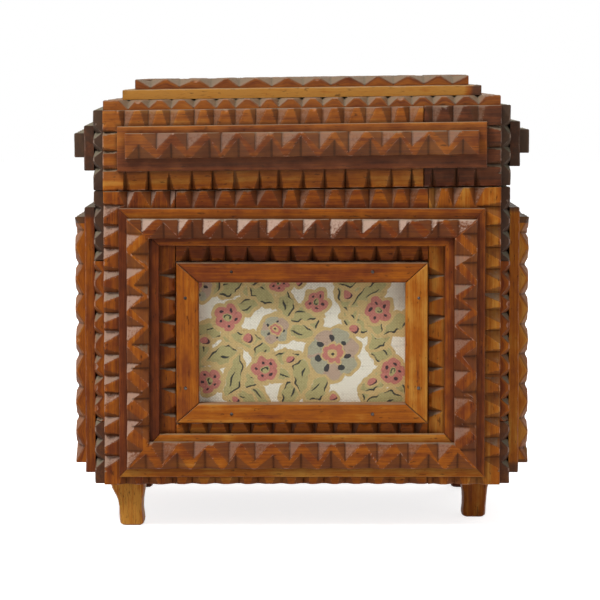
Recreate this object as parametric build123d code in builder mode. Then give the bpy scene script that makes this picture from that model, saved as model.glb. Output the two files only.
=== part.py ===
from build123d import *
import os
from collections import namedtuple
from math import hypot

# A tramp art box in millimetres: X to the right, Y to the back, Z up.
# The origin is on the ground, under the middle of the box.

os.makedirs("parts", exist_ok=True)

# Carcass of the box and of its lid
body_width = 198.0
body_depth = 160.0
body_height = 149.0
lid_height = 40.2
board = 6.0
lid_gap = 0.3
foot_height = 21.5

# Layers of cigar box wood that clad every face, with a hair of air at each joint
layer = 5.1
joint_gap = 0.3

# Knife notches: how far they repeat, the flat left between two, and how far they
# reach over the strip's face and down its edge
fine_pitch = 10.8
fine_land = 2.6
fine_reach = 12.0
fine_drop = 4.2
inner_land = 5.6
inner_reach = 8.6
coarse_pitch = 15.8
coarse_land = 1.2
coarse_reach = 8.4
coarse_drop = 4.3
corner_land = 6.5

# Rings on the walls: how far each stands in from the one under it, and its strips
plain_side_step = 8.0
plain_bottom_step = 4.5
plain_top_step = 10.5
plain_side_width = 20.0
plain_bottom_width = 21.5
plain_top_width = 18.5
raised_side_step = 4.0
raised_bottom_step = 4.5
raised_top_step = 5.0
raised_side_width = 11.0
raised_bottom_width = 13.0
raised_top_width = 9.5
base_side_reveal = 8.0
base_bottom_reveal = 5.0
base_top_reveal = 8.0

# Picture frames, their cloth and their brads
cloth = 1.2
frame_gap = 0.4
frame_thickness = 8.4
frame_stile_width = 11.2
frame_rail_width = 10.0
brad_head_radius = 0.9
brad_head_thickness = 0.5
brad_shank_radius = 0.45
brad_length = 7.0
brad_inset = 4.6
brad_spread_share = 0.28

# Strips round the lid, and rings on its top
lid_plain_end_step = 7.5
lid_plain_bottom_step = 9.5
lid_plain_top_step = 8.0
lid_raised_end_step = 4.2
lid_raised_bottom_step = 6.6
lid_raised_top_step = 4.0
lid_piece_width = 38.5
top_base_width = 36.0
top_plain_step = 9.2
top_plain_width = 20.0
top_raised_step = 6.0
top_raised_width = 11.0

# Feet: two unlike ones in front, two alike behind
front_foot_width = 18.0
front_foot_depth = 17.0
small_foot_width = 15.6
small_foot_depth = 15.0
foot_side_inset = 2.5
front_foot_setback = 1.0
small_foot_setback = 30.0
rear_foot_setback = 4.0
foot_neck = 6.0
foot_outer_taper = 5.0
foot_inner_taper = 1.3
foot_belly = 1.6
foot_toe_radius = 0.9

# Two butt hinges let into the joint between box and lid
hinge_spacing = 116.0
hinge_length = 30.0
hinge_leaf = 1.0
hinge_leaf_depth = 10.5
hinge_fit = 0.15
knuckle_radius = 2.1
knuckle_gap = 0.2
knuckle_stand_off = 0.5
knuckle_count = 5
pin_radius = 0.95
pin_fit = 0.05
pin_overhang = 0.6
screw_spacing = 17.0
screw_head_radius = 1.9
screw_shank_radius = 1.0
screw_length = 8.0
screw_setback = 3.0
screw_fit = 0.05

# One overrun serves every cut
overrun = 1.0

Notch = namedtuple("Notch", "pitch land reach drop")
fine = Notch(fine_pitch, fine_land, fine_reach, fine_drop)
fine_inner = Notch(fine_pitch, inner_land, inner_reach, fine_drop)
coarse = Notch(coarse_pitch, coarse_land, coarse_reach, coarse_drop)

# Heights and planes that the pieces share
rim = foot_height + body_height
lid_bottom = rim + lid_gap
lid_top = lid_bottom + lid_height
front = Plane(origin=(0, -body_depth / 2, 0), x_dir=(1, 0, 0), z_dir=(0, -1, 0))
back = Plane(origin=(0, body_depth / 2, 0), x_dir=(-1, 0, 0), z_dir=(0, 1, 0))
right = Plane(origin=(body_width / 2, 0, 0), x_dir=(0, 1, 0), z_dir=(1, 0, 0))
top = Plane.XY.offset(lid_top)


def inset(rect, side, bottom, upper):
    """A rectangle (left, bottom, right, top) drawn in by three widths."""
    return (rect[0] + side, rect[1] + bottom, rect[2] - side, rect[3] - upper)


def wall_rect(width, bottom, upper):
    """A wall's face, seen from outside."""
    return (-width / 2, bottom, width / 2, upper)


def corner_block(size, low_corner):
    """Adds a block with its lowest corner at a place, in the part being built."""
    x, y, z = low_corner
    with BuildSketch(Plane.XY.offset(z)) as drawn:
        with Locations((x, y)):
            Rectangle(size[0], size[1], align=(Align.MIN, Align.MIN))
    extrude(drawn.sketch, amount=size[2])


def mitred_strips(face, height, outer, inner, thickness):
    """Lays four mitred strips between two rectangles on a face."""
    left, bottom, right_side, upper = outer
    in_left, in_bottom, in_right, in_upper = inner
    with BuildSketch(face.offset(height)) as drawn:
        for edge, in_edge in ((bottom, in_bottom), (upper, in_upper)):
            Polygon(
                (left + joint_gap, edge),
                (right_side - joint_gap, edge),
                (in_right - joint_gap, in_edge),
                (in_left + joint_gap, in_edge),
                align=None,
            )
        for edge, in_edge in ((left, in_left), (right_side, in_right)):
            Polygon(
                (edge, bottom),
                (edge, upper),
                (in_edge, in_upper),
                (in_edge, in_bottom),
                align=None,
            )
    extrude(drawn.sketch, amount=thickness)


def stiles_and_rails(face, height, outer, inner, thickness):
    """Lays two full-height stiles with two rails butted between them on a face."""
    left, bottom, right_side, upper = outer
    in_left, in_bottom, in_right, in_upper = inner
    with BuildSketch(face.offset(height)) as drawn:
        for low, high in ((left, in_left), (in_right, right_side)):
            flat_piece(low, bottom, high, upper)
        for low, high in ((bottom, in_bottom), (in_upper, upper)):
            flat_piece(in_left + joint_gap, low, in_right - joint_gap, high)
    extrude(drawn.sketch, amount=thickness)


def rails_and_stiles(face, height, outer, inner, thickness):
    """Lays two full-width rails with two stiles butted between them on a face."""
    left, bottom, right_side, upper = outer
    in_left, in_bottom, in_right, in_upper = inner
    with BuildSketch(face.offset(height)) as drawn:
        for low, high in ((bottom, in_bottom), (in_upper, upper)):
            flat_piece(left, low, right_side, high)
        for low, high in ((left, in_left), (in_right, right_side)):
            flat_piece(low, in_bottom + joint_gap, high, in_upper - joint_gap)
    extrude(drawn.sketch, amount=thickness)


def flat_piece(left, bottom, right_side, upper):
    """Draws a rectangle from its low corner to its high corner."""
    with Locations((left, bottom)):
        Rectangle(right_side - left, upper - bottom, align=(Align.MIN, Align.MIN))


def notch_count(length, notch):
    """How many notches of about the named pitch fill a length."""
    return max(1, round(length / notch.pitch))


def notch_row(face, height, start, end, inward, notch, count):
    """Cuts a row of V grooves across one arris, from the strip's face into its edge.

    start and end are the row's ends on the face, inward points to the strip's middle,
    and height is how far the arris stands off the face."""
    run = Vector(end[0] - start[0], end[1] - start[1], 0)
    pitch = run.length / count
    land = pitch * notch.land / notch.pitch
    along = (face.x_dir * run.X + face.y_dir * run.Y).normalized()
    over = face.x_dir * inward[0] + face.y_dir * inward[1]
    outward = (face.z_dir * notch.reach - over * notch.drop).normalized()
    corner = face.origin + face.x_dir * start[0] + face.y_dir * start[1] + face.z_dir * height
    depth = notch.reach * notch.drop / hypot(notch.reach, notch.drop)
    lift = depth * land / (pitch - land) / 2
    mouth = (pitch - land) / 2 * (depth + lift) / depth
    points = []
    for i in range(count):
        middle = (i + 1 / 2) * pitch
        points += [(middle - mouth, lift), (middle, -depth), (middle + mouth, lift)]
    points += [(points[-1][0], lift + overrun), (points[0][0], lift + overrun)]
    with BuildSketch(Plane(origin=corner, x_dir=along, z_dir=along.cross(outward))) as drawn:
        with BuildLine():
            Polyline(*points, close=True)
        make_face()
    extrude(drawn.sketch, amount=notch.reach + notch.drop, both=True, mode=Mode.SUBTRACT)


def rect_counts(rect, notch, margin=0):
    """How many notches go along a rectangle's width and height."""
    left, bottom, right_side, upper = inset(rect, margin, margin, margin)
    return notch_count(right_side - left, notch), notch_count(upper - bottom, notch)


def notch_round(face, height, rect, notch, counts, facing=1, margin=0):
    """Notches the four arrises of a rectangle: facing 1 for an outer edge, -1 for an inner."""
    left, bottom, right_side, upper = rect
    across = ((bottom, facing), (upper, -facing))
    upright = ((left, facing), (right_side, -facing))
    for edge, inward in across:
        row = (left + margin, edge), (right_side - margin, edge)
        notch_row(face, height, *row, (0, inward), notch, counts[0])
    for edge, inward in upright:
        row = (edge, bottom + margin), (edge, upper - margin)
        notch_row(face, height, *row, (inward, 0), notch, counts[1])


def fine_edges(face, outer, inner):
    """Fine notches round a base layer, outside and inside."""
    counts = rect_counts(outer, fine, corner_land)
    notch_round(face, layer, outer, fine, counts, margin=corner_land)
    notch_round(face, layer, inner, fine_inner, rect_counts(inner, fine_inner), facing=-1)


def raised_strips(face, outer, inner):
    """The third layer: mitred strips, notched on both arrises, with the inner notches
    one fewer to a side, so that they fall between the outer ones."""
    mitred_strips(face, 2 * layer, outer, inner, layer)
    across, upright = rect_counts(outer, coarse)
    notch_round(face, 3 * layer, outer, coarse, (across, upright))
    inner_counts = (max(1, across - 1), max(1, upright - 1))
    notch_round(face, 3 * layer, inner, coarse, inner_counts, facing=-1)


def save(piece, name):
    """Labels a finished piece and writes it to a file of the same name."""
    piece.label = name
    export_step(piece, f"parts/{name}.step")


# Faces of the body, and the rectangles of the rings on them
front_face = wall_rect(body_width, foot_height, rim)
side_face = wall_rect(body_depth, foot_height, rim)


def ring_rects(face_rect):
    """The outlines of the three rings on one wall, and the opening inside the lowest."""
    plain = inset(face_rect, plain_side_step, plain_bottom_step, plain_top_step)
    plain_in = inset(plain, plain_side_width, plain_bottom_width, plain_top_width)
    raised = inset(plain, raised_side_step, raised_bottom_step, raised_top_step)
    raised_in = inset(raised, raised_side_width, raised_bottom_width, raised_top_width)
    opening = inset(plain_in, base_side_reveal, base_bottom_reveal, base_top_reveal)
    return plain, plain_in, raised, raised_in, opening


front_plain, front_plain_in, front_raised, front_raised_in, front_opening = ring_rects(front_face)
side_plain, side_plain_in, side_raised, side_raised_in, side_opening = ring_rects(side_face)

# Hinges: both axes lie in the middle of the gap under the lid, behind the back's base layer
hinge_y = body_depth / 2 + layer + knuckle_stand_off + knuckle_radius
hinge_z = rim + lid_gap / 2
hinge_places = (-hinge_spacing / 2, hinge_spacing / 2)
leaf_front = body_depth / 2 + layer - hinge_leaf_depth
leaf_back = hinge_y - knuckle_radius - knuckle_gap
screw_y = leaf_front + screw_setback


def hinge_mortises(leaf_side):
    """Cuts the beds of the leaves into a back edge: below the joint at -1, above at 1."""
    low = rim - hinge_leaf if leaf_side < 0 else lid_bottom
    for x in hinge_places:
        with BuildSketch(Plane.XY.offset(low)) as drawn:
            with Locations((x, leaf_front - hinge_fit)):
                Rectangle(
                    hinge_length + 2 * hinge_fit,
                    hinge_leaf_depth + hinge_fit + overrun,
                    align=(Align.CENTER, Align.MIN),
                )
        extrude(drawn.sketch, amount=hinge_leaf, mode=Mode.SUBTRACT)


def screw_holes(leaf_side):
    """Drills the screws' pilot holes into the edge of a back board."""
    edge = Plane.XY.offset(rim if leaf_side < 0 else lid_bottom)
    with BuildSketch(edge) as drawn:
        with Locations(*[(x, screw_y) for x in hinge_places]):
            with GridLocations(screw_spacing, 1, 2, 1):
                Circle(screw_shank_radius + screw_fit)
    extrude(drawn.sketch, amount=leaf_side * (screw_length + screw_fit), mode=Mode.SUBTRACT)


# Carcass of the body
with BuildPart() as bottom_board:
    corner_block(
        (body_width - 2 * board, body_depth - 2 * board, board),
        (board - body_width / 2, board - body_depth / 2, foot_height),
    )
save(bottom_board.part, "bottom_board")

with BuildPart() as front_board:
    corner_block((body_width, board, body_height), (-body_width / 2, -body_depth / 2, foot_height))
save(front_board.part, "front_board")

with BuildPart() as back_board:
    corner_block(
        (body_width, board, body_height), (-body_width / 2, body_depth / 2 - board, foot_height)
    )
    hinge_mortises(-1)
    screw_holes(-1)
save(back_board.part, "back_board")

with BuildPart() as right_board:
    corner_block(
        (board, body_depth - 2 * board, body_height),
        (body_width / 2 - board, board - body_depth / 2, foot_height),
    )
save(right_board.part, "right_board")

with BuildPart() as left_board:
    mirror(right_board.part, about=Plane.YZ)
save(left_board.part, "left_board")

# Carcass of the lid
lid_wall = lid_height - board

with BuildPart() as lid_top_board:
    corner_block((body_width, body_depth, board), (-body_width / 2, -body_depth / 2, lid_top - board))
save(lid_top_board.part, "lid_top_board")

with BuildPart() as lid_front_board:
    corner_block((body_width, board, lid_wall), (-body_width / 2, -body_depth / 2, lid_bottom))
save(lid_front_board.part, "lid_front_board")

with BuildPart() as lid_back_board:
    corner_block((body_width, board, lid_wall), (-body_width / 2, body_depth / 2 - board, lid_bottom))
    hinge_mortises(1)
    screw_holes(1)
save(lid_back_board.part, "lid_back_board")

with BuildPart() as lid_right_board:
    corner_block(
        (board, body_depth - 2 * board, lid_wall),
        (body_width / 2 - board, board - body_depth / 2, lid_bottom),
    )
save(lid_right_board.part, "lid_right_board")

with BuildPart() as lid_left_board:
    mirror(lid_right_board.part, about=Plane.YZ)
save(lid_left_board.part, "lid_left_board")

# Base layer of the front: two stiles and two rails, notched outside and inside
with BuildPart() as front_base:
    stiles_and_rails(front, 0, front_face, front_opening, layer)
    fine_edges(front, front_face, front_opening)
front_pieces = front_base.part.solids().sort_by(Axis.X)
front_rails = ShapeList(front_pieces[1:3]).sort_by(Axis.Z)

for name, solid in (
    ("front_left_stile", front_pieces[0]),
    ("front_bottom_rail", front_rails[0]),
    ("front_top_rail", front_rails[1]),
    ("front_right_stile", front_pieces[3]),
):
    with BuildPart() as front_piece:
        add(solid)
    save(front_piece.part, name)

# Plain and raised rings of the front
with BuildPart() as front_plain_strips:
    mitred_strips(front, layer, front_plain, front_plain_in, layer)
save(front_plain_strips.part, "front_plain_strips")

with BuildPart() as front_raised_strips:
    raised_strips(front, front_raised, front_raised_in)
save(front_raised_strips.part, "front_raised_strips")

# The back wears the same three rings round a bare middle
with BuildPart() as back_base_strips:
    mirror(front_base.part, about=Plane.XZ)
    hinge_mortises(-1)
save(back_base_strips.part, "back_base_strips")

with BuildPart() as back_plain_strips:
    mirror(front_plain_strips.part, about=Plane.XZ)
save(back_plain_strips.part, "back_plain_strips")

with BuildPart() as back_raised_strips:
    mirror(front_raised_strips.part, about=Plane.XZ)
save(back_raised_strips.part, "back_raised_strips")

# Rings of the right side, and of the left side as its mirror image
with BuildPart() as right_base_strips:
    rails_and_stiles(right, 0, side_face, side_opening, layer)
    fine_edges(right, side_face, side_opening)
save(right_base_strips.part, "right_base_strips")

with BuildPart() as right_plain_strips:
    mitred_strips(right, layer, side_plain, side_plain_in, layer)
save(right_plain_strips.part, "right_plain_strips")

with BuildPart() as right_raised_strips:
    raised_strips(right, side_raised, side_raised_in)
save(right_raised_strips.part, "right_raised_strips")

for name, strips in (
    ("left_base_strips", right_base_strips),
    ("left_plain_strips", right_plain_strips),
    ("left_raised_strips", right_raised_strips),
):
    with BuildPart() as left_strips:
        mirror(strips.part, about=Plane.YZ)
    save(left_strips.part, name)


# Framed cloth panels: the cloth lies on the carcass under the frame's four rails
def frame_rects(opening):
    """The outline of a picture frame in a ring's opening, and its sight edge."""
    outline = inset(opening, frame_gap, frame_gap, frame_gap)
    sight = inset(outline, frame_stile_width, frame_rail_width, frame_rail_width)
    return outline, sight


def brad_places(outline):
    """Where a frame's eight brads go in: two to each of its pieces."""
    left, bottom, right_side, upper = outline
    wide = (right_side - left) * brad_spread_share
    tall = (upper - bottom) * brad_spread_share
    middle = (bottom + upper) / 2
    places = []
    for side in (-1, 1):
        places += [(side * wide, bottom + brad_inset), (side * wide, upper - brad_inset)]
        places += [(left + brad_inset, middle + side * tall)]
        places += [(right_side - brad_inset, middle + side * tall)]
    return places


def cloth_panel(face, outline):
    """The cloth, as a flat sheet on the carcass."""
    with BuildSketch(face) as drawn:
        flat_piece(*outline)
    extrude(drawn.sketch, amount=cloth)


def picture_frame(face, outline, sight):
    """Four mitred rails over the cloth, bored for their brads."""
    mitred_strips(face, cloth, outline, sight, frame_thickness)
    with BuildSketch(face.offset(cloth + frame_thickness)) as drawn:
        with Locations(*brad_places(outline)):
            Circle(brad_shank_radius + pin_fit)
    extrude(drawn.sketch, amount=-brad_length, mode=Mode.SUBTRACT)


def brads(face, outline):
    """Brads with flat heads, driven into the frame's face."""
    with BuildSketch(face.offset(cloth + frame_thickness)) as drawn:
        with Locations(*brad_places(outline)):
            Circle(brad_head_radius)
    extrude(drawn.sketch, amount=brad_head_thickness)
    with BuildSketch(face.offset(cloth + frame_thickness)) as drawn:
        with Locations(*brad_places(outline)):
            Circle(brad_shank_radius)
    extrude(drawn.sketch, amount=-(brad_length - pin_fit))


front_outline, front_sight = frame_rects(front_opening)
side_outline, side_sight = frame_rects(side_opening)

with BuildPart() as front_cloth:
    cloth_panel(front, front_outline)
save(front_cloth.part, "front_cloth")

with BuildPart() as front_frame:
    picture_frame(front, front_outline, front_sight)
frame_rails = front_frame.part.solids().sort_by(Axis.Z)
frame_stiles = ShapeList(frame_rails[1:3]).sort_by(Axis.X)

for name, solid in (
    ("front_frame_bottom_rail", frame_rails[0]),
    ("front_frame_left_rail", frame_stiles[0]),
    ("front_frame_right_rail", frame_stiles[1]),
    ("front_frame_top_rail", frame_rails[3]),
):
    with BuildPart() as frame_piece:
        add(solid)
    save(frame_piece.part, name)

with BuildPart() as front_brads:
    brads(front, front_outline)
save(front_brads.part, "front_brads")

with BuildPart() as right_cloth:
    cloth_panel(right, side_outline)
save(right_cloth.part, "right_cloth")

with BuildPart() as right_frame:
    picture_frame(right, side_outline, side_sight)
save(right_frame.part, "right_frame_rails")

with BuildPart() as right_brads:
    brads(right, side_outline)
save(right_brads.part, "right_brads")

for name, panel in (
    ("left_cloth", right_cloth),
    ("left_frame_rails", right_frame),
    ("left_brads", right_brads),
):
    with BuildPart() as left_panel:
        mirror(panel.part, about=Plane.YZ)
    save(left_panel.part, name)

# Strips round the lid's walls
lid_front_face = wall_rect(body_width, lid_bottom, lid_top)
lid_side_face = wall_rect(body_depth, lid_bottom, lid_top)


def lid_rects(face_rect):
    """The plain strip and the raised strip on one wall of the lid."""
    plain = inset(face_rect, lid_plain_end_step, lid_plain_bottom_step, lid_plain_top_step)
    raised = inset(plain, lid_raised_end_step, lid_raised_bottom_step, lid_raised_top_step)
    return plain, raised


def lid_strip(face, height, rect):
    """One flat strip on a wall of the lid."""
    with BuildSketch(face.offset(height)) as drawn:
        flat_piece(*rect)
    extrude(drawn.sketch, amount=layer)


def lid_base(face, rect):
    """A lid wall's base strip, notched along all four arrises."""
    lid_strip(face, 0, rect)
    counts = rect_counts(rect, fine, corner_land)
    notch_round(face, layer, rect, fine, counts, margin=corner_land)


def lid_raised(face, rect):
    """A lid wall's raised strip, with staggered notches along its two long arrises."""
    left, bottom, right_side, upper = rect
    lid_strip(face, 2 * layer, rect)
    count = max(2, notch_count(right_side - left, coarse))
    half_pitch = (right_side - left) / count / 2
    lower_row = (left, bottom), (right_side, bottom)
    upper_row = (left + half_pitch, upper), (right_side - half_pitch, upper)
    notch_row(face, 3 * layer, *lower_row, (0, 1), coarse, count)
    notch_row(face, 3 * layer, *upper_row, (0, -1), coarse, count - 1)


lid_front_plain, lid_front_raised = lid_rects(lid_front_face)
lid_side_plain, lid_side_raised = lid_rects(lid_side_face)
lid_joint_x = body_width / 2 - lid_piece_width

with BuildPart() as lid_front_base:
    lid_base(front, lid_front_face)
    joint_left = lid_joint_x - joint_gap / 2
    with BuildSketch(front):
        flat_piece(joint_left, lid_bottom - overrun, joint_left + joint_gap, lid_top + overrun)
    extrude(amount=layer + overrun, mode=Mode.SUBTRACT)
lid_front_pieces = lid_front_base.part.solids().sort_by(Axis.X)

for name, solid in (
    ("lid_front_base_strip", lid_front_pieces[0]),
    ("lid_front_base_end", lid_front_pieces[1]),
):
    with BuildPart() as lid_front_piece:
        add(solid)
    save(lid_front_piece.part, name)

with BuildPart() as lid_front_plain_strip:
    lid_strip(front, layer, lid_front_plain)
save(lid_front_plain_strip.part, "lid_front_plain_strip")

with BuildPart() as lid_front_raised_strip:
    lid_raised(front, lid_front_raised)
save(lid_front_raised_strip.part, "lid_front_raised_strip")

with BuildPart() as lid_back_base_strip:
    lid_base(back, lid_front_face)
    hinge_mortises(1)
save(lid_back_base_strip.part, "lid_back_base_strip")

with BuildPart() as lid_back_plain_strip:
    mirror(lid_front_plain_strip.part, about=Plane.XZ)
save(lid_back_plain_strip.part, "lid_back_plain_strip")

with BuildPart() as lid_back_raised_strip:
    mirror(lid_front_raised_strip.part, about=Plane.XZ)
save(lid_back_raised_strip.part, "lid_back_raised_strip")

with BuildPart() as lid_right_base:
    lid_base(right, lid_side_face)

with BuildPart() as lid_right_plain:
    lid_strip(right, layer, lid_side_plain)

with BuildPart() as lid_right_raised:
    lid_raised(right, lid_side_raised)

# The two sides' strips are alike, so each pair shares a file
for name, strip in (
    ("lid_side_base_strips", lid_right_base),
    ("lid_side_plain_strips", lid_right_plain),
    ("lid_side_raised_strips", lid_right_raised),
):
    with BuildPart() as lid_pair:
        add(strip.part)
        mirror(strip.part, about=Plane.YZ)
    save(lid_pair.part, name)

# Rings on the lid's top
top_face = (-body_width / 2, -body_depth / 2, body_width / 2, body_depth / 2)
top_opening = inset(top_face, top_base_width, top_base_width, top_base_width)
top_plain = inset(top_face, top_plain_step, top_plain_step, top_plain_step)
top_plain_in = inset(top_plain, top_plain_width, top_plain_width, top_plain_width)
top_raised = inset(top_plain, top_raised_step, top_raised_step, top_raised_step)
top_raised_in = inset(top_raised, top_raised_width, top_raised_width, top_raised_width)

with BuildPart() as lid_top_base_strips:
    mitred_strips(top, 0, top_face, top_opening, layer)
    fine_edges(top, top_face, top_opening)
save(lid_top_base_strips.part, "lid_top_base_strips")

with BuildPart() as lid_top_plain_strips:
    mitred_strips(top, layer, top_plain, top_plain_in, layer)
save(lid_top_plain_strips.part, "lid_top_plain_strips")

with BuildPart() as lid_top_raised_strips:
    raised_strips(top, top_raised, top_raised_in)
save(lid_top_raised_strips.part, "lid_top_raised_strips")


# Feet: whittled pegs, hollowed on the outside under a wider top
def foot(side, width, depth, front_y):
    """One foot, under the left wall at side -1 and under the right at side 1."""
    outer = body_width / 2 - foot_side_inset
    neck_z = foot_height - foot_neck
    neck_share = neck_z / foot_height
    with BuildSketch(Plane.XZ.offset(-front_y)) as drawn:
        with BuildLine():
            outer_top = (side * outer, foot_height)
            outer_neck = (side * (outer - foot_outer_taper * neck_share), neck_z)
            outer_toe = (side * (outer - foot_outer_taper), 0)
            inner_toe = (side * (outer - width + foot_inner_taper), 0)
            inner_top = (side * (outer - width), foot_height)
            ThreePointArc(
                outer_top,
                (side * (outer - foot_outer_taper * neck_share + foot_belly / 2), neck_z + foot_neck / 2),
                outer_neck,
            )
            Polyline(outer_neck, outer_toe, inner_toe, inner_top, outer_top)
        make_face()
    extrude(drawn.sketch, amount=-depth)


with BuildPart() as front_left_foot:
    foot(-1, front_foot_width, front_foot_depth, front_foot_setback - body_depth / 2)
    fillet(front_left_foot.edges().group_by(Axis.Z)[0], foot_toe_radius)
save(front_left_foot.part, "front_left_foot")

with BuildPart() as front_right_foot:
    foot(1, small_foot_width, small_foot_depth, small_foot_setback - body_depth / 2)
    fillet(front_right_foot.edges().group_by(Axis.Z)[0], foot_toe_radius)
save(front_right_foot.part, "front_right_foot")

rear_y = body_depth / 2 - rear_foot_setback - small_foot_depth
for name, side in (("rear_left_foot", -1), ("rear_right_foot", 1)):
    with BuildPart() as rear_foot:
        foot(side, small_foot_width, small_foot_depth, rear_y)
        fillet(rear_foot.edges().group_by(Axis.Z)[0], foot_toe_radius)
    save(rear_foot.part, name)

# Hinges
knuckle_length = hinge_length / knuckle_count


def leaves(leaf_side, numbers):
    """Both leaves on one side of the joint, each with its share of the knuckles."""
    wood = rim if leaf_side < 0 else lid_bottom
    for x in hinge_places:
        with BuildSketch(Plane.XY.offset(wood)) as drawn:
            with Locations((x, leaf_front)):
                Rectangle(hinge_length, leaf_back - leaf_front, align=(Align.CENTER, Align.MIN))
            for number in numbers:
                with Locations((knuckle_middle(x, number), leaf_back)):
                    Rectangle(
                        knuckle_length - knuckle_gap,
                        hinge_y - leaf_back,
                        align=(Align.CENTER, Align.MIN),
                    )
        extrude(drawn.sketch, amount=leaf_side * hinge_leaf)
        for number in numbers:
            with BuildSketch(knuckle_plane(x, number)) as drawn:
                Circle(knuckle_radius)
            extrude(drawn.sketch, amount=knuckle_length - knuckle_gap)
        with BuildSketch(Plane.YZ.offset(x - hinge_length)) as drawn:
            with Locations((hinge_y, hinge_z)):
                Circle(pin_radius + pin_fit)
        extrude(drawn.sketch, amount=2 * hinge_length, mode=Mode.SUBTRACT)
        with BuildSketch(Plane.XY.offset(wood)) as drawn:
            with Locations((x, screw_y)):
                with GridLocations(screw_spacing, 1, 2, 1):
                    Circle(screw_head_radius + screw_fit)
        extrude(drawn.sketch, amount=leaf_side * hinge_leaf, mode=Mode.SUBTRACT)


def knuckle_middle(x, number):
    """The middle of one knuckle along the hinge at x."""
    return x + (number + 1 / 2) * knuckle_length - hinge_length / 2


def knuckle_plane(x, number):
    """The plane of a knuckle's left end, with its origin on the axis."""
    end = knuckle_middle(x, number) - (knuckle_length - knuckle_gap) / 2
    return Plane(origin=(end, hinge_y, hinge_z), x_dir=(0, 1, 0), z_dir=(1, 0, 0))


with BuildPart() as hinge_body_leaves:
    leaves(-1, range(0, knuckle_count, 2))
save(hinge_body_leaves.part, "hinge_body_leaves")

with BuildPart() as hinge_lid_leaves:
    leaves(1, range(1, knuckle_count, 2))
save(hinge_lid_leaves.part, "hinge_lid_leaves")

with BuildPart() as hinge_pins:
    for x in hinge_places:
        end = x - hinge_length / 2 - pin_overhang
        with BuildSketch(Plane(origin=(end, hinge_y, hinge_z), x_dir=(0, 1, 0), z_dir=(1, 0, 0))):
            Circle(pin_radius)
        extrude(amount=hinge_length + 2 * pin_overhang)
save(hinge_pins.part, "hinge_pins")


def hinge_screws(leaf_side):
    """The screws of one side's leaves, with flat heads sunk flush with the leaf."""
    wood = Plane.XY.offset(rim if leaf_side < 0 else lid_bottom)
    for radius, length in ((screw_head_radius, hinge_leaf), (screw_shank_radius, screw_length)):
        with BuildSketch(wood) as drawn:
            with Locations(*[(x, screw_y) for x in hinge_places]):
                with GridLocations(screw_spacing, 1, 2, 1):
                    Circle(radius)
        extrude(drawn.sketch, amount=leaf_side * length)


with BuildPart() as hinge_body_screws:
    hinge_screws(-1)
save(hinge_body_screws.part, "hinge_body_screws")

with BuildPart() as hinge_lid_screws:
    hinge_screws(1)
save(hinge_lid_screws.part, "hinge_lid_screws")
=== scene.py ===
"""Dresses a tramp art box: carved wooden layers, framed printed cloth, feet and hinges."""
import math
from collections import namedtuple
from functools import partial

import bmesh
import bpy
import numpy as np
from bpy.props import FloatProperty, FloatVectorProperty, IntProperty, PointerProperty
from mathutils import Matrix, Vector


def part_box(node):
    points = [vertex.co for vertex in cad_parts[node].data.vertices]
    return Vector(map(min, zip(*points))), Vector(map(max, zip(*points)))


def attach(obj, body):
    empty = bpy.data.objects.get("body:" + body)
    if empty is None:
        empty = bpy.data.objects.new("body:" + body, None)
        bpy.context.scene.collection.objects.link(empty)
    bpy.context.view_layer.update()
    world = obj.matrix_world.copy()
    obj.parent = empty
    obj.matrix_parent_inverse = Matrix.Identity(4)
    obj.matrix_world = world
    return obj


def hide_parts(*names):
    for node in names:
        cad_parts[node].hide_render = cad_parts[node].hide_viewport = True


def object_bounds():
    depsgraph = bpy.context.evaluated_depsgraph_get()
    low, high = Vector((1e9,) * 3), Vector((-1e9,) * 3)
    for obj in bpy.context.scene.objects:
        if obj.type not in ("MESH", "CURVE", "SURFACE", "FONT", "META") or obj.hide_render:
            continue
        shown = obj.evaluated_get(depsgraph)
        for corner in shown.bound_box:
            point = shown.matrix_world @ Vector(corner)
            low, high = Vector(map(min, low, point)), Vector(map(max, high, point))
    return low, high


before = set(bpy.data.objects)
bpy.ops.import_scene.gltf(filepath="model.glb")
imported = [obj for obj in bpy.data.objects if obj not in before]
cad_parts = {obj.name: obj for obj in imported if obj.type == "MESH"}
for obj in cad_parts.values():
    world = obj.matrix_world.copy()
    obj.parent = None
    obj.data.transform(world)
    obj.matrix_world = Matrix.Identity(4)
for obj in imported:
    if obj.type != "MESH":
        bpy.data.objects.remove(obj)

bl_info = {
    "name": "Tramp Art Box",
    "version": (1, 0, 0),
    "blender": (4, 5, 0),
    "location": "3D View > Sidebar > Tramp Art",
    "description": "Builds the carved layers, cloth panels, feet and finish of a tramp art box",
    "category": "Object",
}

MM = 0.001
CAD_BOUNDS = [list(corner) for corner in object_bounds()]

# Carcass sizes, read from the frame
BODY_LOW, BODY_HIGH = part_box("front_board")
LID_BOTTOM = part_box("lid_front_board")[0][2]
LID_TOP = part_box("lid_top_board")[1][2]
WIDTH = BODY_HIGH[0] - BODY_LOW[0]
DEPTH = -2 * BODY_LOW[1]
FOOT = BODY_LOW[2]
RIM = BODY_HIGH[2]
LAYER = 5.1 * MM
CUT_LIMIT = 4.5 * MM  # a notch goes no deeper into a layer
PLAIN_STEP = 5 * MM  # mesh step where nothing is carved
MITRE_GAP = 0.15 * MM
BUTT_GAP = 0.3 * MM

Notch = namedtuple("Notch", "pitch land reach drop")
Row = namedtuple("Row", "start end inward count reach drop slot")
Strip = namedtuple(
    "Strip", "corners level thickness rows tone grey cover free_ends mortises scuff",
    defaults=(0.0, None, False, (), 0.2))


def length_setting(name, description, default):
    """A setting that is a length."""
    return FloatProperty(name=name, description=description, default=default, unit="LENGTH")


def colour_setting(name, description, *default):
    """A setting that is a colour."""
    return FloatVectorProperty(
        name=name, description=description, default=default, subtype="COLOR")


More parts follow.
